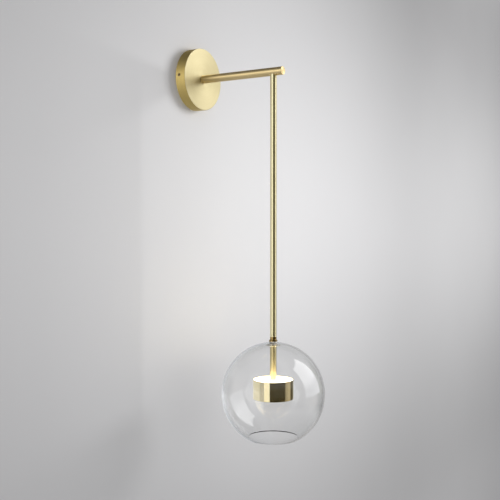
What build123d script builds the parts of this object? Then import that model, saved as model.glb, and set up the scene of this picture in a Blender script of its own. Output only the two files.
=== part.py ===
from build123d import *
import os
from math import radians, sqrt, tan

# Globe wall sconce: a round canopy on the wall, an arm straight out of it, a drop rod under
# the arm, and a clear glass globe with a lit drum-shaped head inside.
#
# Frame, in millimetres: X across the wall, Z up, Y into the wall. The origin is the centre of
# the canopy's back, on the wall. "Out" is a distance from the wall, towards -Y.

os.makedirs("parts", exist_ok=True)

# ---------------------------------------------------------------- driving dimensions
# Canopy
canopy_diameter = 92.0
canopy_depth = 16.5
canopy_front_wall = 1.5
canopy_side_wall = 1.2
canopy_edge_round = 0.6

# Arm, end cap and the place of the drop rod
arm_diameter = 12.0
arm_bore = 9.0
rod_out = 141.5
arm_past_rod = 16.0
cap_thickness = 1.2
cap_spigot_to_tee = 0.8
cap_edge_chamfer = 0.3

# Drop rod and lamp stem share one tube section
rod_diameter = 9.5
rod_bore = 7.1
drop_rod_bottom = 381.5
lamp_stem_length = 59.8
joint_thread = 8.0
joint_thread_depth = 12.0

# Globe
globe_diameter = 150.0
glass_thickness = 2.5
globe_top_hole = 9.4
globe_mouth_diameter = 71.0
glass_rim_round = 1.0

# Collar above the glass, washers below it
collar_height = 6.8
flange_diameter = 12.2
flange_thickness = 1.8
collar_taper = 1.0
upper_washer_thickness = 1.2
lower_washer_edge = 0.8
washer_bore = 8.3
lower_washer_diameter = 18.0
support_washer_diameter = 20.0
support_washer_thickness = 1.5
support_washer_chamfer = 0.3

# Head
head_diameter = 59.0
head_height = 28.0
head_rim_wall = 1.2
head_wall = 2.2
head_floor = 2.0
head_edge_chamfer = 0.4
rim_to_ledge = 3.3
diffuser_thickness = 2.8
sink_plate = 4.0
sink_top_below_rim = 11.6
sink_boss_diameter = 18.0
sink_boss_height = 8.5
fin_count = 12
fin_thickness = 1.6
board_diameter = 50.0
board_hole = 12.4
board_thickness = 1.6
chip_count = 16
chip_circle_radius = 19.5
chip_length = 3.5
chip_width = 2.8
chip_height = 0.8
board_screw_count = 3
board_screw_circle_radius = 12.0
board_screw_turn = 60.0
board_screw_thread = 2.5
board_screw_head = 4.5
board_screw_head_height = 1.5
lead_hole_from_axis = 15.0
lead_hole_diameter = 3.6

# Wall bracket
bracket_thickness = 1.5
bracket_width = 20.0
ear_width = 14.0
ear_depth = 11.0
ear_corner_round = 2.0
slot_spacing = 60.0
slot_width = 4.5
slot_length = 12.0
cable_hole = 11.0
tab_width = 18.0
tab_top = 32.0

# Side screws that hold the canopy on the bracket
side_screw_out = 6.4
side_screw_height = 1.8
side_screw_thread = 4.0
side_screw_length = 8.0
side_screw_socket = 2.0
side_screw_socket_depth = 2.5
side_screw_recess = 0.4
side_hole_diameter = 5.0

# Arm fixing inside the canopy
nipple_thread = 10.0
nipple_bore = 7.0
nipple_in_arm = 11.5
nipple_length = 19.0
lock_washer_diameter = 16.0
lock_washer_thickness = 1.0
lock_nut_flats = 14.0
lock_nut_thickness = 3.0
bush_bore = 5.0
bush_length = 5.0
bush_flange_diameter = 9.4
bush_flange_thickness = 1.0

# Tee insert and rod stud
tee_length = 18.0
tee_channel = 5.0
tee_channel_height = 1.0
stud_thread = 6.0
stud_bore = 3.8
stud_length_in_rod = 12.0
spindle_bore = 5.5
spindle_overlap = 11.0
head_nipple_in_stem = 11.0
head_nipple_past_boss = 0.2

# Terminal block on the bracket's tab
block_length = 30.0
block_height = 14.0
block_depth = 11.5
block_base_depth = 6.0
block_bottom = 16.0
pole_spacing = 10.0
pole_count = 3
tower_width = 7.0
tower_height = 9.0
tower_corner_round = 1.5
wire_entry_diameter = 3.4
wire_entry_out = 4.0
clamp_well_diameter = 4.2
clamp_screw_diameter = 3.8
clamp_screw_length = 4.0
fixing_screw_thread = 3.0
fixing_screw_head = 4.2
fixing_screw_head_height = 1.6

# Earth screw, in line with the terminal block's first pole
earth_screw_thread = 4.0
earth_screw_head = 7.4
earth_screw_head_height = 2.4
earth_ring_diameter = 8.0
earth_ring_thickness = 0.8
earth_barrel_diameter = 3.2
earth_barrel_length = 5.0
earth_barrel_floor = 1.0
earth_neck = 1.0

# Driver and its pad
driver_length = 40.0
driver_height = 18.0
driver_depth = 10.5
driver_top = -13.5
driver_corner_round = 1.5
driver_edge_chamfer = 0.5
driver_pad_thickness = 1.0
pad_end_margin = 3.0
pad_side_margin = 1.5
pad_corner_round = 1.5

# Leads. The neutral and the live leave the driver's end, turn up beside it and lean over to their
# poles, the live outside the neutral; heights are below the terminal block.
hookup_diameter = 1.8
lead_into_block = 9.0
lead_run_out = 9.0
lead_side_step = 3.0
lead_lean = 0.5
neutral_above_centre = 4.0
neutral_turn_below_block = 16.0
neutral_entry_below_block = 12.0
live_below_centre = 2.0
live_turn_below_block = 9.0
live_entry_below_block = 6.5
earth_lead_straight = 1.5
lamp_lead_diameter = 2.4
lamp_lead_bend = 5.5
lamp_lead_from_back = 1.3
lamp_lead_in_tee = 2.0
lamp_lead_past_board = 0.6
run_share = 0.45

# Clearances
thread_clearance = 0.03
slip_clearance = 0.2
press_clearance = 0.02
glass_clearance = 0.2
pocket_clearance = 0.1
screw_tip_clearance = 0.1
ear_clearance = 0.9
route_clearance = 0.4
slot_depth = 0.8
slot_mill = 0.8

# ---------------------------------------------------------------- derived places
canopy_radius = canopy_diameter / 2
canopy_inner_radius = canopy_radius - canopy_side_wall
canopy_front_inside = canopy_depth - canopy_front_wall

arm_reach = rod_out + arm_past_rod
arm_cap_seat = arm_reach - cap_thickness
cap_spigot_length = arm_cap_seat - rod_out - tee_length / 2 - cap_spigot_to_tee
nipple_end_in_arm = canopy_depth + nipple_in_arm
nipple_start = nipple_end_in_arm - nipple_length

globe_radius = globe_diameter / 2
globe_inner_radius = globe_radius - glass_thickness
collar_bottom = -drop_rod_bottom - collar_height
globe_centre = collar_bottom - upper_washer_thickness - glass_clearance - globe_radius
lower_washer_bottom = (
    globe_centre
    + sqrt((globe_inner_radius - glass_clearance) ** 2 - (lower_washer_diameter / 2) ** 2)
    - lower_washer_edge
)
support_washer_bottom = lower_washer_bottom - support_washer_thickness
stem_bottom = support_washer_bottom - lamp_stem_length

sink_top = stem_bottom
head_rim = sink_top + sink_top_below_rim
head_bottom = head_rim - head_height
head_inside_floor = head_bottom + head_floor
head_radius = head_diameter / 2
head_ledge = head_rim - rim_to_ledge
head_rim_bore = head_radius - head_rim_wall
head_bore = head_radius - head_wall
board_top = sink_top + board_thickness

ear_outside = sqrt(canopy_inner_radius**2 - (ear_width / 2 + side_screw_height) ** 2) - ear_clearance
side_screw_outer = sqrt(canopy_radius**2 - side_screw_height**2) - side_screw_recess

earth_screw_x = -pole_spacing
block_out = bracket_thickness
block_centre = block_bottom + block_height / 2
clamp_screw_tip = block_out + wire_entry_out + hookup_diameter / 2 + pocket_clearance
driver_front = canopy_front_inside - driver_pad_thickness
driver_back = driver_front - driver_depth
driver_centre = driver_top - driver_height / 2

rod_axis = Axis((0, -rod_out, 0), (0, 0, 1))


def out_plane(distance, x=0, z=0):
    """A plane parallel to the wall, drawn looking into the wall: x right, y up, normal out."""
    return Plane(origin=(x, -distance, z), x_dir=(1, 0, 0), z_dir=(0, -1, 0))


def level_plane(height):
    """A level plane centred on the drop rod's axis, with its normal up."""
    return Plane(origin=(0, -rod_out, height))


def rod_section():
    """The upright plane through the drop rod's axis: x from the axis, y is the height."""
    return Plane(origin=(0, -rod_out, 0), x_dir=(1, 0, 0), z_dir=(0, -1, 0))


def route_points(route):
    """A route's (x, out, height) places as points of the frame."""
    return [Vector(x, -out, height) for x, out, height in route]


def bend_radii(route, largest_bend):
    """The radius at each corner: as large as its two runs allow, up to the room that the place has."""
    points = route_points(route)
    radii = []
    for before, corner, after in zip(points, points[1:], points[2:]):
        run_in, run_on = corner - before, after - corner
        half_turn = radians(run_in.get_angle(run_on)) / 2
        radii.append(min(largest_bend, run_share * min(run_in.length, run_on.length) / tan(half_turn)))
    print("lead bend radii", [round(radius, 2) for radius in radii])
    return radii


# ---------------------------------------------------------------- on the wall
with BuildPart() as wall_bracket:
    with BuildSketch(out_plane(0)):
        Rectangle(2 * ear_outside, bracket_width)
        with Locations((0, tab_top / 2)):
            Rectangle(tab_width, tab_top)
    extrude(amount=bracket_thickness)
    for side in (-1, 1):
        ear_x = side * (ear_outside - bracket_thickness / 2)
        with BuildSketch(out_plane(0)):
            with Locations((ear_x, side_screw_height)):
                Rectangle(bracket_thickness, ear_width)
        extrude(amount=ear_depth)
    with BuildSketch(out_plane(0)):
        with Locations((-slot_spacing / 2, 0), (slot_spacing / 2, 0)):
            SlotOverall(slot_length, slot_width)
        Circle(cable_hole / 2)
        with Locations((earth_screw_x, 0)):
            Circle(earth_screw_thread / 2 + thread_clearance)
        with Locations((-pole_spacing / 2, block_centre), (pole_spacing / 2, block_centre)):
            Circle(fixing_screw_thread / 2 + thread_clearance)
    extrude(amount=bracket_thickness, mode=Mode.SUBTRACT)
    ear_hole_plane = Plane(
        origin=(-ear_outside, -side_screw_out, side_screw_height), x_dir=(0, 1, 0), z_dir=(1, 0, 0)
    )
    with BuildSketch(ear_hole_plane):
        Circle(side_screw_thread / 2 + thread_clearance)
    extrude(amount=2 * ear_outside, mode=Mode.SUBTRACT)
    ear_corners = wall_bracket.edges().filter_by(Axis.X).group_by(Axis.Y)[0]
    fillet(ear_corners, radius=ear_corner_round)
wall_bracket.part.label = "wall_bracket"
export_step(wall_bracket.part, "parts/wall_bracket.step")

with BuildPart() as canopy_cover:
    with BuildSketch(out_plane(0)):
        Circle(canopy_radius)
    extrude(amount=canopy_depth)
    front_edge = canopy_cover.edges().filter_by(GeomType.CIRCLE).sort_by(Axis.Y)[0]
    fillet(front_edge, radius=canopy_edge_round)
    with BuildSketch(out_plane(0)):
        Circle(canopy_inner_radius)
    extrude(amount=canopy_front_inside, mode=Mode.SUBTRACT)
    with BuildSketch(out_plane(0)):
        Circle(nipple_thread / 2 + slip_clearance)
    extrude(amount=canopy_depth, mode=Mode.SUBTRACT)
    side_hole_plane = Plane(
        origin=(-canopy_radius, -side_screw_out, side_screw_height), x_dir=(0, 1, 0), z_dir=(1, 0, 0)
    )
    with BuildSketch(side_hole_plane):
        Circle(side_hole_diameter / 2)
    extrude(amount=canopy_diameter, mode=Mode.SUBTRACT)
canopy_cover.part.label = "canopy_cover"
export_step(canopy_cover.part, "parts/canopy_cover.step")

for side, side_name in ((-1, "left"), (1, "right")):
    tip_plane = Plane(
        origin=(side * side_screw_outer, -side_screw_out, side_screw_height),
        x_dir=(0, 1, 0),
        z_dir=(-side, 0, 0),
    )
    with BuildPart() as side_screw:
        with BuildSketch(tip_plane):
            Circle(side_screw_thread / 2)
        extrude(amount=side_screw_length)
        with BuildSketch(tip_plane):
            RegularPolygon(side_screw_socket / 2, 6, major_radius=False)
        extrude(amount=side_screw_socket_depth, mode=Mode.SUBTRACT)
    side_screw.part.label = f"side_screw_{side_name}"
    export_step(side_screw.part, f"parts/side_screw_{side_name}.step")

# ---------------------------------------------------------------- wiring inside the canopy
with BuildPart() as terminal_block:
    with BuildSketch(out_plane(block_out, 0, block_centre)):
        Rectangle(block_length, block_height)
    extrude(amount=block_base_depth)
    with BuildSketch(out_plane(block_out, 0, block_centre)):
        with GridLocations(pole_spacing, 0, pole_count, 1):
            RectangleRounded(tower_width, tower_height, tower_corner_round)
    extrude(amount=block_depth)
    with BuildSketch(out_plane(block_out + block_depth, 0, block_centre)):
        with GridLocations(pole_spacing, 0, pole_count, 1):
            Circle(clamp_well_diameter / 2)
    extrude(amount=clamp_screw_tip - block_out - block_depth, mode=Mode.SUBTRACT)
    with BuildSketch(Plane(origin=(0, -block_out - wire_entry_out, block_bottom))):
        with GridLocations(pole_spacing, 0, pole_count, 1):
            Circle(wire_entry_diameter / 2)
    extrude(amount=block_height, mode=Mode.SUBTRACT)
    with BuildSketch(out_plane(block_out, 0, block_centre)):
        with GridLocations(pole_spacing, 0, pole_count - 1, 1):
            Circle(fixing_screw_thread / 2 + pocket_clearance)
    extrude(amount=block_base_depth, mode=Mode.SUBTRACT)
    with BuildSketch(out_plane(block_out + block_base_depth, 0, block_centre)):
        with GridLocations(pole_spacing, 0, pole_count - 1, 1):
            Circle(fixing_screw_head / 2 + pocket_clearance)
    extrude(amount=block_depth, mode=Mode.SUBTRACT)
terminal_block.part.label = "terminal_block"
export_step(terminal_block.part, "parts/terminal_block.step")

clamp_screw_top = clamp_screw_tip + clamp_screw_length
with BuildPart() as terminal_clamp_screws:
    with BuildSketch(out_plane(clamp_screw_tip, 0, block_centre)):
        with GridLocations(pole_spacing, 0, pole_count, 1):
            Circle(clamp_screw_diameter / 2)
    extrude(amount=clamp_screw_length)
    with BuildSketch(out_plane(clamp_screw_top, 0, block_centre)):
        with GridLocations(pole_spacing, 0, pole_count, 1):
            Rectangle(clamp_screw_diameter, slot_mill)
    extrude(amount=-slot_depth, mode=Mode.SUBTRACT)
terminal_clamp_screws.part.label = "terminal_clamp_screws"
export_step(terminal_clamp_screws.part, "parts/terminal_clamp_screws.step")

fixing_head_seat = block_out + block_base_depth
with BuildPart() as terminal_fixing_screws:
    with BuildSketch(out_plane(screw_tip_clearance, 0, block_centre)):
        with GridLocations(pole_spacing, 0, pole_count - 1, 1):
            Circle(fixing_screw_thread / 2)
    extrude(amount=fixing_head_seat - screw_tip_clearance)
    with BuildSketch(out_plane(fixing_head_seat, 0, block_centre)):
        with GridLocations(pole_spacing, 0, pole_count - 1, 1):
            Circle(fixing_screw_head / 2)
    extrude(amount=fixing_screw_head_height)
    with BuildSketch(out_plane(fixing_head_seat + fixing_screw_head_height, 0, block_centre)):
        with GridLocations(pole_spacing, 0, pole_count - 1, 1):
            Rectangle(fixing_screw_head, slot_mill)
    extrude(amount=-slot_depth, mode=Mode.SUBTRACT)
terminal_fixing_screws.part.label = "terminal_fixing_screws"
export_step(terminal_fixing_screws.part, "parts/terminal_fixing_screws.step")

earth_head_seat = bracket_thickness + earth_ring_thickness
with BuildPart() as earth_screw:
    with BuildSketch(out_plane(screw_tip_clearance, earth_screw_x)):
        Circle(earth_screw_thread / 2)
    extrude(amount=earth_head_seat - screw_tip_clearance)
    with BuildSketch(out_plane(earth_head_seat, earth_screw_x)):
        Circle(earth_screw_head / 2)
    extrude(amount=earth_screw_head_height)
    with BuildSketch(out_plane(earth_head_seat + earth_screw_head_height, earth_screw_x)):
        Rectangle(earth_screw_head, slot_mill)
        Rectangle(slot_mill, earth_screw_head)
    extrude(amount=-slot_depth, mode=Mode.SUBTRACT)
earth_screw.part.label = "earth_screw"
export_step(earth_screw.part, "parts/earth_screw.step")

# The barrel stands up from the ring, beside the screw's head, and takes the lead's end.
barrel_height = earth_ring_diameter / 2 + earth_neck
barrel_out = bracket_thickness + earth_barrel_diameter / 2
with BuildPart() as earth_terminal:
    with BuildSketch(out_plane(bracket_thickness, earth_screw_x)):
        Circle(earth_ring_diameter / 2)
        with Locations((0, barrel_height / 2)):
            Rectangle(earth_barrel_diameter, barrel_height)
        Circle(earth_screw_thread / 2 + pocket_clearance, mode=Mode.SUBTRACT)
    extrude(amount=earth_ring_thickness)
    barrel_plane = Plane(origin=(earth_screw_x, -barrel_out, barrel_height))
    with BuildSketch(barrel_plane):
        Circle(earth_barrel_diameter / 2)
    extrude(amount=earth_barrel_length)
    with BuildSketch(barrel_plane.offset(earth_barrel_length)):
        Circle(hookup_diameter / 2 + press_clearance)
    extrude(amount=earth_barrel_floor - earth_barrel_length, mode=Mode.SUBTRACT)
earth_terminal.part.label = "earth_terminal"
export_step(earth_terminal.part, "parts/earth_terminal.step")

with BuildPart() as led_driver:
    with BuildSketch(out_plane(driver_back, 0, driver_centre)):
        RectangleRounded(driver_length, driver_height, driver_corner_round)
    extrude(amount=driver_depth)
    driver_rims = led_driver.faces().filter_by(Axis.Y).edges()
    chamfer(driver_rims, length=driver_edge_chamfer)
led_driver.part.label = "led_driver"
export_step(led_driver.part, "parts/led_driver.step")

pad_length = driver_length - 2 * pad_end_margin
pad_height = driver_height - 2 * pad_side_margin
with BuildPart() as driver_pad:
    with BuildSketch(out_plane(driver_front, 0, driver_centre)):
        RectangleRounded(pad_length, pad_height, pad_corner_round)
    extrude(amount=driver_pad_thickness)
driver_pad.part.label = "driver_pad"
export_step(driver_pad.part, "parts/driver_pad.step")

lead_entry_out = block_out + wire_entry_out
lead_tip_height = block_bottom + lead_into_block
driver_lead_out = driver_back + driver_depth / 2
lead_mid_out = (driver_lead_out + lead_entry_out) / 2
neutral_height = driver_centre + neutral_above_centre
neutral_side = driver_length / 2 + lead_run_out
live_height = driver_centre - live_below_centre
live_side = neutral_side + lead_side_step
neutral_route = [
    (driver_length / 2, driver_lead_out, neutral_height),
    (neutral_side, driver_lead_out, neutral_height),
    (neutral_side - lead_lean, lead_mid_out, block_bottom - neutral_turn_below_block),
    (0, lead_entry_out, block_bottom - neutral_entry_below_block),
    (0, lead_entry_out, lead_tip_height),
]
live_route = [
    (driver_length / 2, driver_lead_out, live_height),
    (live_side, driver_lead_out, live_height),
    (live_side - lead_lean, lead_mid_out, block_bottom - live_turn_below_block),
    (pole_spacing, lead_entry_out, block_bottom - live_entry_below_block),
    (pole_spacing, lead_entry_out, lead_tip_height),
]
with BuildPart() as driver_input_leads:
    for route in (neutral_route, live_route):
        with BuildLine() as path:
            FilletPolyline(*route_points(route), radius=bend_radii(route, driver_depth))
        with BuildSketch(Plane(origin=path.line @ 0, z_dir=path.line % 0)):
            Circle(hookup_diameter / 2)
        sweep(path=path.line)
driver_input_leads.part.label = "driver_input_leads"
export_step(driver_input_leads.part, "parts/driver_input_leads.step")

barrel_top = barrel_height + earth_barrel_length
earth_route = [
    (earth_screw_x, lead_entry_out, lead_tip_height),
    (earth_screw_x, lead_entry_out, block_bottom - earth_lead_straight),
    (earth_screw_x, barrel_out, barrel_top + earth_lead_straight),
    (earth_screw_x, barrel_out, barrel_height + earth_barrel_floor + press_clearance),
]
with BuildPart() as earth_lead:
    with BuildLine() as path:
        FilletPolyline(*route_points(earth_route), radius=bend_radii(earth_route, earth_barrel_length))
    with BuildSketch(Plane(origin=path.line @ 0, z_dir=path.line % 0)):
        Circle(hookup_diameter / 2)
    sweep(path=path.line)
earth_lead.part.label = "earth_lead"
export_step(earth_lead.part, "parts/earth_lead.step")

# The lamp lead leaves the driver's upper side, turns out into the arm, down at the tee, down the
# rod and the stem, and under the heat sink's boss to the hole in the LED board.
lamp_lead_out = driver_back + lamp_lead_from_back
sink_boss_bottom = sink_top - sink_boss_height
lamp_lead_under_boss = head_inside_floor + lamp_lead_diameter / 2 + route_clearance
lamp_route = [
    (0.0, lamp_lead_out, driver_top),
    (0.0, lamp_lead_out, 0.0),
    (0.0, rod_out, lamp_lead_in_tee),
    (0.0, rod_out, lamp_lead_under_boss),
    (lead_hole_from_axis, rod_out, lamp_lead_under_boss),
    (lead_hole_from_axis, rod_out, board_top + lamp_lead_past_board),
]
with BuildPart() as lamp_lead:
    with BuildLine() as path:
        FilletPolyline(*route_points(lamp_route), radius=bend_radii(lamp_route, lamp_lead_bend))
    with BuildSketch(Plane(origin=path.line @ 0, z_dir=path.line % 0)):
        Circle(lamp_lead_diameter / 2)
    sweep(path=path.line)
lamp_lead.part.label = "lamp_lead"
export_step(lamp_lead.part, "parts/lamp_lead.step")

# ---------------------------------------------------------------- arm and its fixing
with BuildPart() as arm_nipple:
    with BuildSketch(out_plane(nipple_start)):
        Circle(nipple_thread / 2 - thread_clearance)
        Circle(nipple_bore / 2, mode=Mode.SUBTRACT)
    extrude(amount=nipple_length)
arm_nipple.part.label = "arm_nipple"
export_step(arm_nipple.part, "parts/arm_nipple.step")

with BuildPart() as nipple_bush:
    with BuildSketch(out_plane(nipple_start)):
        Circle(nipple_bore / 2 - press_clearance)
    extrude(amount=bush_length)
    with BuildSketch(out_plane(nipple_start)):
        Circle(bush_flange_diameter / 2)
    extrude(amount=-bush_flange_thickness)
    with BuildSketch(out_plane(nipple_start - bush_flange_thickness)):
        Circle(bush_bore / 2)
    extrude(amount=bush_flange_thickness + bush_length, mode=Mode.SUBTRACT)
    back_edges = nipple_bush.edges().filter_by(GeomType.CIRCLE).group_by(Axis.Y)[-1]
    fillet(back_edges.sort_by(SortBy.RADIUS)[0], radius=bush_flange_thickness / 2)
nipple_bush.part.label = "nipple_bush"
export_step(nipple_bush.part, "parts/nipple_bush.step")

with BuildPart() as arm_lock_washer:
    with BuildSketch(out_plane(canopy_front_inside - lock_washer_thickness)):
        Circle(lock_washer_diameter / 2)
        Circle(nipple_thread / 2 + slip_clearance, mode=Mode.SUBTRACT)
    extrude(amount=lock_washer_thickness)
arm_lock_washer.part.label = "arm_lock_washer"
export_step(arm_lock_washer.part, "parts/arm_lock_washer.step")

with BuildPart() as arm_lock_nut:
    with BuildSketch(out_plane(canopy_front_inside - lock_washer_thickness - lock_nut_thickness)):
        RegularPolygon(lock_nut_flats / 2, 6, major_radius=False)
        Circle(nipple_thread / 2, mode=Mode.SUBTRACT)
    extrude(amount=lock_nut_thickness)
arm_lock_nut.part.label = "arm_lock_nut"
export_step(arm_lock_nut.part, "parts/arm_lock_nut.step")

with BuildPart() as arm_tube:
    with BuildSketch(out_plane(canopy_depth)):
        Circle(arm_diameter / 2)
        Circle(arm_bore / 2, mode=Mode.SUBTRACT)
    extrude(amount=arm_cap_seat - canopy_depth)
    with BuildSketch(out_plane(canopy_depth)):
        Circle(nipple_thread / 2)
    extrude(amount=joint_thread_depth, mode=Mode.SUBTRACT)
    with BuildSketch(level_plane(-arm_diameter)):
        Circle(stud_thread / 2 + slip_clearance)
    extrude(amount=arm_diameter, mode=Mode.SUBTRACT)
arm_tube.part.label = "arm_tube"
export_step(arm_tube.part, "parts/arm_tube.step")

with BuildPart() as arm_end_cap:
    with BuildSketch(out_plane(arm_cap_seat)):
        Circle(arm_diameter / 2)
    extrude(amount=cap_thickness)
    cap_front = arm_end_cap.edges().filter_by(GeomType.CIRCLE).sort_by(Axis.Y)[0]
    chamfer(cap_front, length=cap_edge_chamfer)
    with BuildSketch(out_plane(arm_cap_seat)):
        Circle(arm_bore / 2 - press_clearance)
    extrude(amount=-cap_spigot_length)
arm_end_cap.part.label = "arm_end_cap"
export_step(arm_end_cap.part, "parts/arm_end_cap.step")

# The insert is a plug in the arm, with a channel for the lead that opens over the stud.
with BuildPart() as tee_insert:
    with BuildSketch(out_plane(rod_out - tee_length / 2)):
        Circle(arm_bore / 2 - press_clearance)
    extrude(amount=tee_length)
    with BuildSketch(out_plane(rod_out - tee_length / 2, 0, tee_channel_height)):
        Circle(tee_channel / 2)
    extrude(amount=(tee_length + tee_channel) / 2, mode=Mode.SUBTRACT)
    with BuildSketch(level_plane(-arm_bore)):
        Circle(stud_thread / 2 + thread_clearance)
    extrude(amount=arm_bore + tee_channel_height, mode=Mode.SUBTRACT)
tee_insert.part.label = "tee_insert"
export_step(tee_insert.part, "parts/tee_insert.step")

stud_shoulder = -arm_diameter / 2 - slip_clearance
stud_top = tee_channel_height - tee_channel / 2
with BuildPart() as rod_stud:
    with BuildSketch(level_plane(stud_shoulder - stud_length_in_rod)):
        Circle(joint_thread / 2)
    extrude(amount=stud_length_in_rod)
    with BuildSketch(level_plane(stud_shoulder)):
        Circle(stud_thread / 2)
    extrude(amount=stud_top - stud_shoulder)
    with BuildSketch(level_plane(stud_shoulder - stud_length_in_rod)):
        Circle(stud_bore / 2)
    extrude(amount=stud_length_in_rod + stud_top - stud_shoulder, mode=Mode.SUBTRACT)
rod_stud.part.label = "rod_stud"
export_step(rod_stud.part, "parts/rod_stud.step")

# ---------------------------------------------------------------- drop rod
# The rod's top end is shaped to the arm's underside.
with BuildPart() as drop_rod:
    with BuildSketch(level_plane(-drop_rod_bottom)):
        Circle(rod_diameter / 2)
        Circle(rod_bore / 2, mode=Mode.SUBTRACT)
    extrude(amount=drop_rod_bottom)
    with BuildSketch(level_plane(-drop_rod_bottom)):
        Circle(joint_thread / 2 + thread_clearance)
    extrude(amount=joint_thread_depth, mode=Mode.SUBTRACT)
    with BuildSketch(level_plane(stud_shoulder - stud_length_in_rod - slip_clearance)):
        Circle(joint_thread / 2 + thread_clearance)
    extrude(amount=drop_rod_bottom, mode=Mode.SUBTRACT)
    with BuildSketch(out_plane(rod_out - rod_diameter)):
        Circle(arm_diameter / 2 + press_clearance)
    extrude(amount=2 * rod_diameter, mode=Mode.SUBTRACT)
drop_rod.part.label = "drop_rod"
export_step(drop_rod.part, "parts/drop_rod.step")

with BuildPart() as globe_collar:
    with BuildSketch(rod_section()):
        with BuildLine():
            Polyline(
                (joint_thread / 2 + thread_clearance, -drop_rod_bottom),
                (rod_diameter / 2, -drop_rod_bottom),
                (rod_diameter / 2, collar_bottom + flange_thickness + collar_taper),
                (flange_diameter / 2, collar_bottom + flange_thickness),
                (flange_diameter / 2, collar_bottom),
                (joint_thread / 2 + thread_clearance, collar_bottom),
                close=True,
            )
        make_face()
    revolve(axis=rod_axis)
globe_collar.part.label = "globe_collar"
export_step(globe_collar.part, "parts/globe_collar.step")

spindle_top = -drop_rod_bottom + spindle_overlap
spindle_bottom = support_washer_bottom - spindle_overlap
with BuildPart() as globe_spindle:
    with BuildSketch(level_plane(spindle_bottom)):
        Circle(joint_thread / 2)
        Circle(spindle_bore / 2, mode=Mode.SUBTRACT)
    extrude(amount=spindle_top - spindle_bottom)
globe_spindle.part.label = "globe_spindle"
export_step(globe_spindle.part, "parts/globe_spindle.step")

# ---------------------------------------------------------------- globe
def globe_height(sphere_radius, from_axis):
    """The height of the upper half of a sphere about the globe's centre, at a distance from its axis."""
    return globe_centre + sqrt(sphere_radius**2 - from_axis**2)


upper_washer_sphere = globe_radius + glass_clearance
with BuildPart() as upper_glass_washer:
    with BuildSketch(rod_section()):
        with BuildLine():
            inner, outer = washer_bore / 2, flange_diameter / 2
            Line((inner, collar_bottom), (outer, collar_bottom))
            Line((outer, collar_bottom), (outer, globe_height(upper_washer_sphere, outer)))
            ThreePointArc(
                (outer, globe_height(upper_washer_sphere, outer)),
                ((inner + outer) / 2, globe_height(upper_washer_sphere, (inner + outer) / 2)),
                (inner, globe_height(upper_washer_sphere, inner)),
            )
            Line((inner, globe_height(upper_washer_sphere, inner)), (inner, collar_bottom))
        make_face()
    revolve(axis=rod_axis)
upper_glass_washer.part.label = "upper_glass_washer"
export_step(upper_glass_washer.part, "parts/upper_glass_washer.step")

# The shell is cut square to its wall at the mouth, and straight down at the top hole.
mouth_radius = globe_mouth_diameter / 2
mouth_drop = sqrt(globe_inner_radius**2 - mouth_radius**2)
outer_share = globe_radius / globe_inner_radius
top_hole_radius = globe_top_hole / 2
with BuildPart() as glass_globe:
    with BuildSketch(rod_section()):
        with BuildLine():
            outer_top = (top_hole_radius, globe_height(globe_radius, top_hole_radius))
            inner_top = (top_hole_radius, globe_height(globe_inner_radius, top_hole_radius))
            outer_mouth = (mouth_radius * outer_share, globe_centre - mouth_drop * outer_share)
            inner_mouth = (mouth_radius, globe_centre - mouth_drop)
            ThreePointArc(outer_top, (globe_radius, globe_centre), outer_mouth)
            Line(outer_mouth, inner_mouth)
            ThreePointArc(inner_mouth, (globe_inner_radius, globe_centre), inner_top)
            Line(inner_top, outer_top)
        make_face()
    revolve(axis=rod_axis)
    mouth_edges = glass_globe.edges().filter_by(GeomType.CIRCLE).sort_by(Axis.Z)[:2]
    fillet(mouth_edges, radius=glass_rim_round)
glass_globe.part.label = "glass_globe"
export_step(glass_globe.part, "parts/glass_globe.step")

lower_washer_sphere = globe_inner_radius - glass_clearance
with BuildPart() as lower_glass_washer:
    with BuildSketch(rod_section()):
        with BuildLine():
            inner, outer = washer_bore / 2, lower_washer_diameter / 2
            Line((inner, lower_washer_bottom), (outer, lower_washer_bottom))
            Line((outer, lower_washer_bottom), (outer, globe_height(lower_washer_sphere, outer)))
            ThreePointArc(
                (outer, globe_height(lower_washer_sphere, outer)),
                ((inner + outer) / 2, globe_height(lower_washer_sphere, (inner + outer) / 2)),
                (inner, globe_height(lower_washer_sphere, inner)),
            )
            Line((inner, globe_height(lower_washer_sphere, inner)), (inner, lower_washer_bottom))
        make_face()
    revolve(axis=rod_axis)
lower_glass_washer.part.label = "lower_glass_washer"
export_step(lower_glass_washer.part, "parts/lower_glass_washer.step")

with BuildPart() as support_washer:
    with BuildSketch(level_plane(support_washer_bottom)):
        Circle(support_washer_diameter / 2)
        Circle(washer_bore / 2, mode=Mode.SUBTRACT)
    extrude(amount=support_washer_thickness)
    washer_rims = support_washer.edges().filter_by(GeomType.CIRCLE).group_by(SortBy.RADIUS)[-1]
    chamfer(washer_rims, length=support_washer_chamfer)
support_washer.part.label = "support_washer"
export_step(support_washer.part, "parts/support_washer.step")

# ---------------------------------------------------------------- head
with BuildPart() as lamp_stem:
    with BuildSketch(level_plane(stem_bottom)):
        Circle(rod_diameter / 2)
        Circle(rod_bore / 2, mode=Mode.SUBTRACT)
    extrude(amount=lamp_stem_length)
    for end_level in (stem_bottom, support_washer_bottom - joint_thread_depth):
        with BuildSketch(level_plane(end_level)):
            Circle(joint_thread / 2 + thread_clearance)
        extrude(amount=joint_thread_depth, mode=Mode.SUBTRACT)
lamp_stem.part.label = "lamp_stem"
export_step(lamp_stem.part, "parts/lamp_stem.step")

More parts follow.
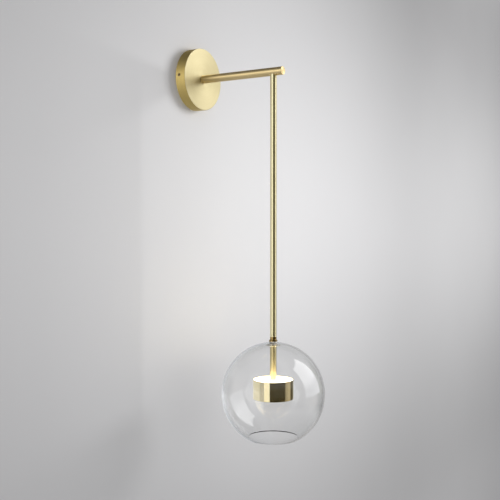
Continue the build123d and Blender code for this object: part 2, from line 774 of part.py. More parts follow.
head_nipple_bottom = sink_boss_bottom - head_nipple_past_boss
head_nipple_top = sink_top + head_nipple_in_stem
with BuildPart() as head_nipple:
    with BuildSketch(level_plane(head_nipple_bottom)):
        Circle(joint_thread / 2)
        Circle(spindle_bore / 2, mode=Mode.SUBTRACT)
    extrude(amount=head_nipple_top - head_nipple_bottom)
head_nipple.part.label = "head_nipple"
export_step(head_nipple.part, "parts/head_nipple.step")

with BuildPart() as head_housing:
    with BuildSketch(level_plane(head_bottom)):
        Circle(head_radius)
    extrude(amount=head_height)
    outer_edges = head_housing.edges().filter_by(GeomType.CIRCLE).sort_by(Axis.Z)
    chamfer(outer_edges[0], length=head_edge_chamfer)
    with BuildSketch(level_plane(head_inside_floor)):
        Circle(head_bore)
    extrude(amount=head_height, mode=Mode.SUBTRACT)
    with BuildSketch(level_plane(head_ledge)):
        Circle(head_rim_bore)
    extrude(amount=head_height, mode=Mode.SUBTRACT)
head_housing.part.label = "head_housing"
export_step(head_housing.part, "parts/head_housing.step")

# A plate with a threaded boss and fins under it, pressed into the housing.
sink_radius = head_bore - press_clearance
fin_height = sink_top - sink_plate - head_inside_floor
fin_start = sink_boss_diameter / 2 - fin_thickness / 2
with BuildPart() as heat_sink:
    with BuildSketch(level_plane(sink_top)):
        Circle(sink_radius)
    extrude(amount=-sink_plate)
    with BuildSketch(level_plane(sink_top)):
        Circle(sink_boss_diameter / 2)
    extrude(amount=-sink_boss_height)
    with BuildSketch(level_plane(sink_top - sink_plate)):
        with PolarLocations((fin_start + sink_radius) / 2, fin_count, start_angle=180 / fin_count):
            Rectangle(sink_radius - fin_start, fin_thickness)
        Circle(sink_radius, mode=Mode.INTERSECT)
    extrude(amount=-fin_height)
    with BuildSketch(level_plane(sink_top)):
        Circle(joint_thread / 2 + thread_clearance)
        with Locations((lead_hole_from_axis, 0)):
            Circle(lead_hole_diameter / 2)
        with PolarLocations(board_screw_circle_radius, board_screw_count, start_angle=board_screw_turn):
            Circle(board_screw_thread / 2 + thread_clearance)
    extrude(amount=-sink_boss_height, mode=Mode.SUBTRACT)
heat_sink.part.label = "heat_sink"
export_step(heat_sink.part, "parts/heat_sink.step")

with BuildPart() as led_board:
    with BuildSketch(level_plane(sink_top)):
        Circle(board_diameter / 2)
        Circle(board_hole / 2, mode=Mode.SUBTRACT)
        with Locations((lead_hole_from_axis, 0)):
            Circle(lead_hole_diameter / 2, mode=Mode.SUBTRACT)
        with PolarLocations(board_screw_circle_radius, board_screw_count, start_angle=board_screw_turn):
            Circle(board_screw_thread / 2 + pocket_clearance, mode=Mode.SUBTRACT)
    extrude(amount=board_thickness)
led_board.part.label = "led_board"
export_step(led_board.part, "parts/led_board.step")

with BuildPart() as led_chips:
    with BuildSketch(level_plane(board_top)):
        with PolarLocations(chip_circle_radius, chip_count):
            Rectangle(chip_width, chip_length)
    extrude(amount=chip_height)
led_chips.part.label = "led_chips"
export_step(led_chips.part, "parts/led_chips.step")

with BuildPart() as board_screws:
    with BuildSketch(level_plane(sink_top - sink_plate)):
        with PolarLocations(board_screw_circle_radius, board_screw_count, start_angle=board_screw_turn):
            Circle(board_screw_thread / 2)
    extrude(amount=sink_plate + board_thickness)
    with BuildSketch(level_plane(board_top)):
        with PolarLocations(board_screw_circle_radius, board_screw_count, start_angle=board_screw_turn):
            Circle(board_screw_head / 2)
    extrude(amount=board_screw_head_height)
    with BuildSketch(level_plane(board_top + board_screw_head_height)):
        with PolarLocations(board_screw_circle_radius, board_screw_count, start_angle=board_screw_turn):
            Rectangle(board_screw_head, slot_mill)
    extrude(amount=-slot_depth, mode=Mode.SUBTRACT)
board_screws.part.label = "board_screws"
export_step(board_screws.part, "parts/board_screws.step")

with BuildPart() as diffuser:
    with BuildSketch(level_plane(head_ledge)):
        Circle(head_rim_bore - pocket_clearance)
        Circle(rod_diameter / 2 + slip_clearance, mode=Mode.SUBTRACT)
    extrude(amount=diffuser_thickness)
diffuser.part.label = "diffuser"
export_step(diffuser.part, "parts/diffuser.step")
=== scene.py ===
"""The finished looks of a globe wall sconce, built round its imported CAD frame.

A round canopy stands on the wall, a straight arm comes out of it, and a rod drops from the arm to a
clear glass globe with a lit, drum-shaped head inside. Profiles and sub-assemblies are in millimetres,
and everything else is in metres. The axes are the frame's: X across the wall, Y into it, Z up.
"""

import logging
import math
from dataclasses import dataclass
from enum import Enum
from typing import Callable, Sequence

import bmesh
import bpy
from mathutils import Euler, Matrix, Vector


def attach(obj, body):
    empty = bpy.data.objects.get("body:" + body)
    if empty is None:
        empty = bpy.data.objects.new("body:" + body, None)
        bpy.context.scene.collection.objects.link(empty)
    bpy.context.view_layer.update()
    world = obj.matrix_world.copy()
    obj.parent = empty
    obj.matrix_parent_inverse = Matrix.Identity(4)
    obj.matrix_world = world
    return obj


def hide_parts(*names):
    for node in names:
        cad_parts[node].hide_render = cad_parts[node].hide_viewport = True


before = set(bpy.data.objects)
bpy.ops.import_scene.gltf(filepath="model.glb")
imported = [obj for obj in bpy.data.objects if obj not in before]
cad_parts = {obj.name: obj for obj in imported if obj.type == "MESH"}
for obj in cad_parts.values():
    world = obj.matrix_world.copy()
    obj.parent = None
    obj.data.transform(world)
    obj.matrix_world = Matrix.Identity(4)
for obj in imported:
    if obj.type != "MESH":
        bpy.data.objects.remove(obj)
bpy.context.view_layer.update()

log = logging.getLogger("globe_sconce")

Place = tuple[float, float]
Point = tuple[float, float, float]
Colour = tuple[float, float, float]
Thing = bpy.types.Object
Material = bpy.types.Material
Tree = bpy.types.NodeTree
Node = bpy.types.Node
Socket = bpy.types.NodeSocket
Sockets = bpy.types.bpy_prop_collection

MM = 0.001
MICRON = 0.000001
FULL_TURN = 360.0

ROD_OUT = 141.5  # the rod's axis, out from the wall, in mm
GLOBE_CENTRE = -464.7  # the globe's centre, up from the arm's axis, in mm

TURNED_UV = "turned"
CREASE = 32.0  # the angle between faces, in degrees, past which an edge is sharp
ON_AXIS = 1e-6  # a radius under this is a point on the axis, in mm
NEARLY_STRAIGHT = 0.02  # a corner that turns by less than this gets no arc, in radians
SUPPORT = 0.35  # how far past an arc its supporting point lies, as a share of its radius
DEBURRED = 0.10  # the usual rounding of a hidden edge, in mm
BROKEN = 0.12  # the usual rounding of a visible edge, in mm


# ---------------------------------------------------------------------------- profiles and turned meshes
@dataclass(frozen=True)
class Corner:
    """One corner of a turned profile: its radius, its place along the axis, and its rounding."""

    radius: float
    along: float
    round: float = 0.0


def rounded_path(corners: Sequence[Corner], closed: bool = True, steps: int = 5) -> list[Place]:
    """Turns a profile's corners into points, with an arc at each rounded corner.

    Args:
        corners: The corners in order.
        closed: Whether the last corner joins the first.
        steps: How many runs an arc of a quarter turn has.

    Returns:
        The (radius, along) points, with a supporting point just past each arc's ends, so that the
        rounding doesn't tilt the shading of the long runs.
    """
    points: list[Place] = []
    count = len(corners)
    for index, corner in enumerate(corners):
        here = Vector((corner.radius, corner.along))
        before, after = corners[index - 1], corners[(index + 1) % count]
        back = Vector((before.radius, before.along)) - here
        on = Vector((after.radius, after.along)) - here
        room_back, room_on = back.length, on.length
        back.normalize()
        on.normalize()
        turn = math.acos(max(-1.0, min(1.0, back.dot(on))))
        at_end = not closed and index in (0, count - 1)
        if corner.round <= 0 or at_end or turn > math.pi - NEARLY_STRAIGHT:
            points.append((here.x, here.y))
            continue
        reach = corner.round / math.tan(turn / 2)
        middle = here + (back + on).normalized() * (corner.round / math.sin(turn / 2))
        start, stop = here + back * reach - middle, here + on * reach - middle
        sweep = math.copysign(math.pi - turn, start.x * stop.y - start.y * stop.x)
        runs = max(2, round(steps * abs(sweep) / (math.pi / 2)))
        support = SUPPORT * corner.round
        if room_back > reach + 2 * support:
            points.append(tuple(here + back * (reach + support)))
        for step in range(runs + 1):
            cosine, sine = math.cos(sweep * step / runs), math.sin(sweep * step / runs)
            points.append((middle.x + start.x * cosine - start.y * sine, middle.y + start.x * sine + start.y * cosine))
        if room_on > reach + 2 * support:
            points.append(tuple(here + on * (reach + support)))
    return points


def divided(points: Sequence[Place], longest: float, closed: bool = True) -> list[Place]:
    """Adds points on the runs of a profile that are longer than a length.

    Args:
        points: The profile.
        longest: The longest run that stays whole.
        closed: Whether the last point joins the first.

    Returns:
        The profile with the points added.
    """
    result: list[Place] = []
    count = len(points)
    for index in range(count if closed else count - 1):
        a, b = Vector(points[index]), Vector(points[(index + 1) % count])
        pieces = max(1, math.ceil((b - a).length / longest))
        result += [tuple(a.lerp(b, piece / pieces)) for piece in range(pieces)]
    if not closed:
        result.append(tuple(points[-1]))
    return result


def arc_corners(centre: float, radius: float, start: float, stop: float, runs: int) -> list[Corner]:
    """Corners on an arc about a point of the axis, between two angles up from level, in radians."""
    angles = [start + (stop - start) * step / runs for step in range(runs + 1)]
    return [Corner(radius * math.cos(a), centre + radius * math.sin(a)) for a in angles]


def tube_corners(radius: float, bore: float, low: float, high: float, rounds: Sequence[float]) -> list[Corner]:
    """The corners of a plain tube, and their roundings: outer low, outer high, inner high, inner low."""
    places = ((radius, low), (radius, high), (bore, high), (bore, low))
    return [Corner(*place, edge) for place, edge in zip(places, rounds)]


class Direction(Enum):
    """The way that a turned piece's axis runs, and the side that its first point is on."""

    UP = ((0, 0, 1), (1, 0, 0))
    OUT = ((0, -1, 0), (1, 0, 0))
    LEFT = ((-1, 0, 0), (0, 0, 1))
    RIGHT = ((1, 0, 0), (0, 0, 1))

    def seat(self, out: float = 0.0, height: float = 0.0) -> Matrix:
        """The placing of a piece turned about this direction.

        Args:
            out: Where the axis starts, out from the wall, in millimetres.
            height: Where it starts, up from the arm's axis.

        Returns:
            The matrix from the piece's own axes, with the axis along Z, to the frame.
        """
        along, first = Vector(self.value[0]), Vector(self.value[1])
        turn = Matrix((first, along.cross(first), along)).transposed().to_4x4()
        return Matrix.Translation(Vector((0.0, -out, height)) * MM) @ turn


UPRIGHT = Direction.UP.seat(ROD_OUT)
OUTWARD = Direction.OUT.seat()


def piece(name: str, mesh: bpy.types.Mesh) -> Thing:
    """Puts a mesh in the scene.

    Args:
        name: The piece's name.
        mesh: Its mesh.

    Returns:
        The piece.
    """
    thing = bpy.data.objects.new(name, mesh)
    bpy.context.scene.collection.objects.link(thing)
    return thing


def turned(
    name: str,
    corners: Sequence[Corner],
    seat: Matrix,
    segments: int,
    longest: float | None = None,
    closed: bool = True,
    steps: int = 5,
    crease: float = CREASE,
    shift: Callable[[float, float, float], float] | None = None,
) -> Thing:
    """Turns a piece about an axis from the corners of its profile.

    Args:
        name: The piece's name.
        corners: The profile's corners.
        seat: The placing of the axis.
        segments: How many faces go round.
        longest: The longest run that stays whole, where long runs are divided.
        closed: Whether the profile closes on itself, as a ring's does.
        steps: How many runs an arc of a quarter turn has.
        crease: The angle between faces, in degrees, past which an edge is sharp.
        shift: Gives a point's place along the axis from its x, y and place along.

    Returns:
        The piece, in the frame, with a UV map of turns round and metres along the profile.
    """
    profile = rounded_path(corners, closed, steps)
    if longest:
        profile = divided(profile, longest, closed)
    form = bmesh.new()
    uv_layer = form.loops.layers.uv.new(TURNED_UV)
    rings: list[list[bmesh.types.BMVert]] = []
    run = [0.0]
    for radius, along in profile:
        if rings:
            run.append(run[-1] + math.dist(profile[len(rings) - 1], (radius, along)) * MM)
        ring = []
        for index in range(1 if radius < ON_AXIS else segments):
            angle = 2 * math.pi * index / segments
            x, y = radius * math.cos(angle), radius * math.sin(angle)
            z = shift(x, y, along) if shift else along
            ring.append(form.verts.new(Vector((x, y, z)) * MM))
        rings.append(ring)
    pairs = [(low, low + 1) for low in range(len(rings) - 1)]
    if closed:
        pairs.append((len(rings) - 1, 0))
    for low, high in pairs:
        high_run = run[high] if high else run[-1] + math.dist(profile[-1], profile[0]) * MM
        for index in range(segments):
            after = (index + 1) % segments
            outline = []
            for ring, side, v in ((rings[low], 0, run[low]), (rings[low], 1, run[low]),
                                  (rings[high], 1, high_run), (rings[high], 0, high_run)):
                point = len(ring) == 1
                vert = ring[0] if point else ring[after if side else index]
                if all(vert is not known for known, _ in outline):
                    outline.append((vert, ((index + (0.5 if point else side)) / segments, v)))
            if len(outline) < 3:
                continue
            face = form.faces.new([vert for vert, _ in outline])
            face.smooth = True
            for loop, (_, uv) in zip(face.loops, outline):
                loop[uv_layer].uv = uv
    form.transform(seat)
    bmesh.ops.recalc_face_normals(form, faces=form.faces)
    mesh = bpy.data.meshes.new(name)
    form.to_mesh(mesh)
    form.free()
    mesh.set_sharp_from_angle(angle=math.radians(crease))
    return piece(name, mesh)


def plug(radius: float, low: float, high: float, seat: Matrix, sides: int) -> Thing:
    """A solid plug or prism about an axis, for cutting a hole or a socket."""
    places = ((0.0, low), (radius, low), (radius, high), (0.0, high))
    return turned("plug", [Corner(*place) for place in places], seat, sides, closed=False)


def cut(thing: Thing, *cutters: Thing) -> None:
    """Cuts plugs out of a piece, and keeps the result as the piece's own mesh.

    Args:
        thing: The piece.
        cutters: The plugs, which are used up.
    """
    for cutter in cutters:
        step = thing.modifiers.new("cut", "BOOLEAN")
        step.object, step.operation, step.solver = cutter, "DIFFERENCE", "EXACT"
    bpy.context.view_layer.update()
    shaped = bpy.data.meshes.new_from_object(thing.evaluated_get(bpy.context.evaluated_depsgraph_get()))
    thing.modifiers.clear()
    thing.data = shaped
    for polygon in shaped.polygons:
        polygon.use_smooth = True
    shaped.set_sharp_from_angle(angle=math.radians(CREASE))
    for cutter in cutters:
        bpy.data.objects.remove(cutter)


# ---------------------------------------------------------------------------- node work
class Bench:
    """Places and joins the nodes of one tree."""

    def __init__(self, tree: Tree) -> None:
        """Starts on a tree and clears it."""
        self.tree = tree
        tree.nodes.clear()

    def add(self, kind: str, **settings: object) -> Node:
        """Adds a node and sets its properties.

        Args:
            kind: The node's type, without the leading ShaderNode.
            settings: Properties of the node, by name.

        Returns:
            The node.
        """
        node = self.tree.nodes.new(kind if kind.startswith("Node") else "ShaderNode" + kind)
        for key, value in settings.items():
            setattr(node, key, value)
        return node

    def feed(self, socket: Socket, value: object) -> None:
        """Joins a socket to another one, or sets its value.

        Args:
            socket: The input.
            value: A socket, a number, a vector, a colour of three parts, or None to leave it as it is.
        """
        if isinstance(value, Socket):
            self.tree.links.new(value, socket)
        elif value is not None:
            if socket.type == "RGBA" and len(value) == 3:
                value = (*value, 1.0)
            socket.default_value = value

    def wire(self, node: Node, values: dict[str | int, object]) -> Sockets:
        """Feeds several inputs of a node.

        Args:
            node: The node.
            values: What goes into its inputs, by name or number.

        Returns:
            The node's outputs.
        """
        for key, value in values.items():
            self.feed(node.inputs[key], value)
        return node.outputs

    def math(self, operation: str, a: object, b: object = None, clamp: bool = False) -> Socket:
        """A Math node's result, held between 0 and 1 where it is to be clamped."""
        return self.wire(self.add("Math", operation=operation, use_clamp=clamp), {0: a, 1: b})[0]

    def plus(self, a: object, b: object, clamp: bool = False) -> Socket:
        """The sum of two numbers or sockets, held between 0 and 1 where it is to be clamped."""
        return self.math("ADD", a, b, clamp)

    def times(self, a: object, b: object, clamp: bool = False) -> Socket:
        """The product of two numbers or sockets, held between 0 and 1 where it is to be clamped."""
        return self.math("MULTIPLY", a, b, clamp)

    def vector(self, operation: str, a: object, b: object = None) -> Socket:
        """A Vector Math node's result, which is a number for a length or a dot product."""
        result = self.wire(self.add("VectorMath", operation=operation), {0: a, 1: b})
        return result["Value" if operation in ("LENGTH", "DOT_PRODUCT") else "Vector"]

    def parts(self, vector: object) -> Sockets:
        """The three parts of a vector, each a socket."""
        return self.wire(self.add("SeparateXYZ"), {0: vector})

    def span(self, value: object, low: float, high: float, to_low: float = 0.0, to_high: float = 1.0) -> Socket:
        """A value taken smoothly from the range low to high to the range to_low to to_high, and held inside it."""
        node = self.add("MapRange", interpolation_type="SMOOTHSTEP")
        return self.wire(node, dict(enumerate((value, low, high, to_low, to_high))))[0]

    def blend(self, share: object, a: object, b: object, mode: str = "MIX") -> Socket:
        """Two colours blended, by the share of the second one."""
        return self.wire(self.add("Mix", data_type="RGBA", blend_type=mode), {0: share, 6: a, 7: b})[2]

    def noise(self, vector: object, scale: object, detail: float = 2.0, roughness: float = 0.5) -> Socket:
        """A Noise Texture's value, with its scale in waves to the metre."""
        return self.wire(self.add("TexNoise"), {
            "Vector": vector, "Scale": scale, "Detail": detail, "Roughness": roughness})[0]

    def bump(self, height: object, strength: float, depth: float) -> Socket:
        """A Bump node's normal, for a depth in thousandths of a millimetre."""
        return self.wire(self.add("Bump"), {"Strength": strength, "Distance": depth * MICRON, "Height": height})[0]

    def effect(self, group: Tree, **values: object) -> Sockets:
        """Places a shared effect, feeds its inputs by name, and gives its outputs."""
        return self.wire(self.add("Group", node_tree=group), values)

    def reflected(self) -> Socket:
        """1 where a ray has met a glossy surface on its way, and 0 elsewhere."""
        return self.math("GREATER_THAN", self.add("LightPath").outputs["Glossy Depth"], 0.5)


class Effects:
    """The effects that several finishes share, each a node group that is built once."""

    STREAKS = (0.38, 0.64)  # the part of the grain's noise that shows as streaks

    def __init__(self) -> None:
        """Builds every group."""
        self.edge_wear = self._edge_wear()
        self.turned_grain = self._turned_grain()
        self.drawn_grain = self._drawn_grain()
        self.handling = self._handling()
        self.spark = self._spark()
        self.dust = self._dust()

    @staticmethod
    def _group(name: str, inputs: dict[str, float | tuple], outputs: Sequence[str]) -> tuple[Bench, Sockets, Node]:
        """Makes an empty group.

        Args:
            name: The group's name.
            inputs: Each input's name and its usual value.
            outputs: The outputs' names, all of them numbers.

        Returns:
            The group's bench, the sockets of its inputs, and its output node.
        """
        group = bpy.data.node_groups.new(name, "ShaderNodeTree")
        for key, usual in inputs.items():
            kind = "NodeSocketVector" if isinstance(usual, tuple) else "NodeSocketFloat"
            group.interface.new_socket(key, in_out="INPUT", socket_type=kind).default_value = usual
        for key in outputs:
            group.interface.new_socket(key, in_out="OUTPUT", socket_type="NodeSocketFloat")
        bench = Bench(group)
        return bench, bench.add("NodeGroupInput").outputs, bench.add("NodeGroupOutput")

    def _edge_wear(self) -> Tree:
        """Edges rubbed bright: where a rounded normal leaves the true one, broken up by noise.

        Returns:
            The group.
        """
        bench, given, result = self._group(
            "edge_wear", {"Reach": 0.0005, "Strength": 1.0, "Breakup": 900.0}, ["Mask"])
        rounded = bench.wire(bench.add("Bevel", samples=4), {"Radius": given["Reach"]})[0]
        geometry = bench.add("NewGeometry").outputs
        along = bench.vector("DOT_PRODUCT", rounded, geometry["Normal"])
        turned_away = bench.span(bench.math("SUBTRACT", 1.0, along), 0.004, 0.16)
        patches = bench.noise(geometry["Position"], given["Breakup"], 3.0)
        worn = bench.times(turned_away, bench.span(patches, 0.3, 0.7, 0.25, 1.0))
        bench.wire(result, {"Mask": bench.times(worn, given["Strength"], clamp=True)})
        return bench.tree

    def _turned_grain(self) -> Tree:
        """Fine rings left by turning and circular brushing, from the turned UV map.

        Returns:
            The group.
        """
        bench, given, result = self._group("turned_grain", {"Across": 2600.0, "Around": 2.0}, ["Height", "Streak"])
        flat = bench.parts(bench.add("UVMap", uv_map=TURNED_UV).outputs[0])
        turn = bench.times(flat[0], 2 * math.pi)
        ring = bench.wire(bench.add("CombineXYZ"), {
            0: bench.times(bench.math("COSINE", turn), given["Around"]),
            1: bench.times(bench.math("SINE", turn), given["Around"]),
            2: bench.times(flat[1], given["Across"]),
        })[0]
        fine = bench.noise(ring, 1.0, 3.0, 0.65)
        broad = bench.noise(bench.vector("MULTIPLY", ring, (1.0, 1.0, 0.17)), 1.0)
        both = bench.plus(bench.times(fine, 0.65), bench.times(broad, 0.35))
        bench.wire(result, {"Height": both, "Streak": bench.span(both, *self.STREAKS)})
        return bench.tree

    def _drawn_grain(self) -> Tree:
        """Grain along one of the frame's axes, for drawn, rolled and cast metal.

        Returns:
            The group.
        """
        bench, given, result = self._group(
            "drawn_grain", {"Stretch": (1.0, 1.0, 1.0), "Scale": 1500.0}, ["Height", "Streak"])
        place = bench.vector("MULTIPLY", bench.add("TexCoord").outputs["Object"], given["Stretch"])
        fine = bench.noise(place, given["Scale"], 3.0, 0.6)
        bench.wire(result, {"Height": fine, "Streak": bench.span(fine, *self.STREAKS)})
        return bench.tree

    def _handling(self) -> Tree:
        """Soft smears of handling and lacquer, and a finer mottle.

        Returns:
            The group.
        """
        bench, given, result = self._group("handling", {"Size": 28.0}, ["Smear", "Mottle"])
        place = bench.add("NewGeometry").outputs["Position"]
        broad = bench.noise(place, given["Size"], 4.0, 0.55)
        fine = bench.noise(place, bench.times(given["Size"], 9.0), 3.0, 0.6)
        bench.wire(result, {"Smear": bench.span(broad, 0.42, 0.68), "Mottle": bench.span(fine, 0.32, 0.70)})
        return bench.tree

    def _spark(self) -> Tree:
        """The fine pitted texture of a spark-eroded mould.

        Returns:
            The group.
        """
        bench, given, result = self._group("spark_texture", {"Scale": 2400.0}, ["Height"])
        cells = bench.wire(bench.add("TexVoronoi", feature="SMOOTH_F1"), {
            "Vector": bench.add("TexCoord").outputs["Object"], "Scale": given["Scale"]})
        bench.wire(result, {"Height": bench.math("SUBTRACT", 1.0, cells["Distance"], clamp=True)})
        return bench.tree

    def _dust(self) -> Tree:
        """A little dust on what faces up.

        Returns:
            The group.
        """
        bench, given, result = self._group("settled_dust", {"Amount": 0.1, "Size": 160.0}, ["Mask"])
        geometry = bench.add("NewGeometry").outputs
        up = bench.span(bench.parts(geometry["Normal"])[2], 0.55, 0.98)
        specks = bench.span(bench.noise(geometry["Position"], given["Size"], 5.0, 0.7), 0.40, 0.75)
        bench.wire(result, {"Mask": bench.times(bench.times(up, specks), given["Amount"], clamp=True)})
        return bench.tree


# ---------------------------------------------------------------------------- finishes
DUST_TONE: Colour = (0.62, 0.60, 0.56)
STEEL_EDGE: Colour = (0.86, 0.86, 0.85)


def toned(colour: Colour, by: float, lift: float = 0.0) -> Colour:
    """A colour multiplied by a number, with another one added, at most white."""
    return tuple(min(1.0, by * part + lift) for part in colour)


class Grain(Enum):
    """The way that a metal's grain runs: round the turned piece, or stretched along the frame's axes."""

    TURNED = (0.0, 0.0, 0.0)
    ACROSS_WALL = (0.06, 1.0, 1.0)
    CAST = (1.0, 1.0, 1.0)


@dataclass(frozen=True)
class Finish:
    """A named finish. The name is the record's material slot, or a finer finish of one of its pieces."""

    name: str

    def material(self, effects: Effects) -> Material:
        """Makes the finish's material.

        Args:
            effects: The shared effects.

        Returns:
            The material.
        """
        material = bpy.data.materials.new(f"{self.name}_finish")
        material.use_nodes = True
        bench = Bench(material.node_tree)
        shader = bench.add("BsdfPrincipled")
        bench.wire(shader, self.inputs(bench, effects))
        bench.wire(bench.add("OutputMaterial"), {"Surface": self.surface(bench, shader)})
        return material

    def inputs(self, bench: Bench, effects: Effects) -> dict[str, object]:
        """What goes into the Principled shader. Each kind of finish gives its own."""
        raise NotImplementedError

    def surface(self, bench: Bench, shader: Node) -> Socket:
        """What goes to the material's output: the Principled shader alone, as a rule."""
        return shader.outputs[0]


@dataclass(frozen=True)
class MetalFinish(Finish):
    """A bare or plated metal with grain, smears, worn edges and a little dust.

    A shaded flank tone is painted shade: the sides of a piece that faces out from the wall get a deeper,
    darker tone than its face. Depths are in thousandths of a millimetre.
    """

    tone: Colour
    deep: Colour
    roughness: float
    grain: Grain = Grain.CAST
    across: float = 2600.0
    around: float = 2.0
    depth: float = 4.0
    swing: float = 0.10
    streak: float = 0.35
    smear: float = 0.30
    anisotropy: float = 0.0
    edge: Colour = (0.90, 0.80, 0.58)
    wear: float = 0.55
    dust: float = 0.06
    # painted shade on the sides: their darker tone, and the range of the normal's outward part over which it fades in
    shaded_flank: Colour | None = None
    shaded_flank_from: Place = (0.35, 0.75)

    def inputs(self, bench: Bench, effects: Effects) -> dict[str, object]:
        """The metal's inputs, with a tangent round the turned piece where it has one.

        Args:
            bench: The material's bench.
            effects: The shared effects.

        Returns:
            What goes into the Principled shader.
        """
        tangent = None
        if self.grain is Grain.TURNED:
            grain = bench.effect(effects.turned_grain, Across=self.across, Around=self.around)
            tangent = bench.add("Tangent", direction_type="UV_MAP", uv_map=TURNED_UV).outputs[0]
        else:
            grain = bench.effect(effects.drawn_grain, Stretch=self.grain.value, Scale=self.across)
        smear = bench.effect(effects.handling)["Smear"]
        worn = bench.effect(effects.edge_wear, Strength=self.wear)["Mask"]
        dust = bench.effect(effects.dust, Amount=self.dust)["Mask"]
        shade = bench.plus(bench.times(grain["Streak"], self.streak), bench.times(smear, self.smear), clamp=True)
        colour = bench.blend(shade, self.tone, self.deep)
        # painted shade: faces turned across the wall get the deeper, darker flank tone in place of the face's tone
        if self.shaded_flank:
            outward = bench.parts(bench.add("NewGeometry").outputs["Normal"])[1]
            side = bench.span(bench.math("ABSOLUTE", outward), *self.shaded_flank_from, 1.0, 0.0)
            colour = bench.blend(side, colour, bench.blend(shade, self.shaded_flank, toned(self.shaded_flank, 0.86)))
        colour = bench.blend(worn, colour, self.edge)
        rough = bench.plus(bench.times(grain["Streak"], self.swing), self.roughness)
        rough = bench.plus(rough, bench.times(smear, self.swing * 0.6))
        rough = bench.math("SUBTRACT", rough, bench.times(worn, self.roughness * 0.4))
        return {
            "Tangent": tangent,
            "Base Color": bench.blend(dust, colour, DUST_TONE),
            "Roughness": bench.plus(rough, dust, clamp=True),
            "Metallic": bench.math("SUBTRACT", 1.0, dust, clamp=True),
            "Normal": bench.bump(grain["Height"], 1.0, self.depth),
            "Anisotropic": self.anisotropy,
            "Anisotropic Rotation": 0.25,
        }


@dataclass(frozen=True)
class MouldedFinish(Finish):
    """Moulded or extruded plastic, foam or coated board, with a fine texture and handling marks.

    A band is a second colour wound round it. The depth is in thousandths of a millimetre.
    """

    tone: Colour
    deep: Colour
    roughness: float = 0.45
    spark: float = 2400.0
    depth: float = 20.0
    wear: float = 0.25
    dust: float = 0.10
    coat: float = 0.0
    band: Colour | None = None
    band_scale: float = 95.0

    def inputs(self, bench: Bench, effects: Effects) -> dict[str, object]:
        """The plastic's inputs.

        Args:
            bench: The material's bench.
            effects: The shared effects.

        Returns:
            What goes into the Principled shader.
        """
        pits = bench.effect(effects.spark, Scale=self.spark)["Height"]
        touch = bench.effect(effects.handling, Size=60.0)
        worn = bench.effect(effects.edge_wear, Strength=self.wear, Reach=0.0003)["Mask"]
        dust = bench.effect(effects.dust, Amount=self.dust)["Mask"]
        base: object = self.tone
        if self.band:
            waves = bench.wire(bench.add("TexWave", wave_type="BANDS", bands_direction="DIAGONAL"), {
                "Vector": bench.add("TexCoord").outputs["Object"], "Scale": self.band_scale})
            base = bench.blend(bench.span(waves["Fac"], 0.44, 0.56), self.tone, self.band)
        share = bench.plus(bench.times(touch["Smear"], 0.5), bench.times(touch["Mottle"], 0.3), clamp=True)
        colour = bench.blend(worn, bench.blend(share, base, self.deep), toned(self.tone, 1.25, 0.02))
        rough = bench.plus(bench.times(touch["Mottle"], 0.12), self.roughness)
        return {
            "Base Color": bench.blend(dust, colour, DUST_TONE),
            "Roughness": bench.plus(rough, dust, clamp=True),
            "Normal": bench.bump(pits, 0.5, self.depth),
            "Coat Weight": self.coat,
            "Coat Roughness": 0.12,
        }


@dataclass(frozen=True)
class GlassFinish(Finish):
    """Clear blown glass or clear silicone: see-through, with a slow waviness and faint smears.

    The depth of the waves is in thousandths of a millimetre.
    """

    tone: Colour
    ior: float
    roughness: float
    swing: float
    transmission: float = 1.0
    wave: float = 14.0
    depth: float = 30.0

    def inputs(self, bench: Bench, effects: Effects) -> dict[str, object]:
        """The clear material's inputs.

        Args:
            bench: The material's bench.
            effects: The shared effects.

        Returns:
            What goes into the Principled shader.
        """
        touch = bench.effect(effects.handling, Size=16.0)
        smudge = bench.times(touch["Smear"], touch["Mottle"])
        swell = bench.noise(bench.add("TexCoord").outputs["Object"], self.wave, 1.0)
        return {
            "Roughness": bench.plus(bench.times(smudge, self.swing), self.roughness),
            "Base Color": bench.blend(touch["Smear"], self.tone, toned(self.tone, 0.985)),
            "Normal": bench.bump(swell, 0.6, self.depth),
            "Metallic": 0.0,
            "Transmission Weight": self.transmission,
            "IOR": self.ior,
        }

    def surface(self, bench: Bench, shader: Node) -> Socket:
        """The shader, but clear for shadows, so that lamp light goes straight through.

        Args:
            bench: The material's bench.
            shader: The Principled shader.

        Returns:
            What goes to the material's output.
        """
        clear = bench.wire(bench.add("BsdfTransparent"), {"Color": self.tone})[0]
        shadow = bench.add("LightPath").outputs["Is Shadow Ray"]
        return bench.wire(bench.add("MixShader"), {0: shadow, 1: shader.outputs[0], 2: clear})[0]


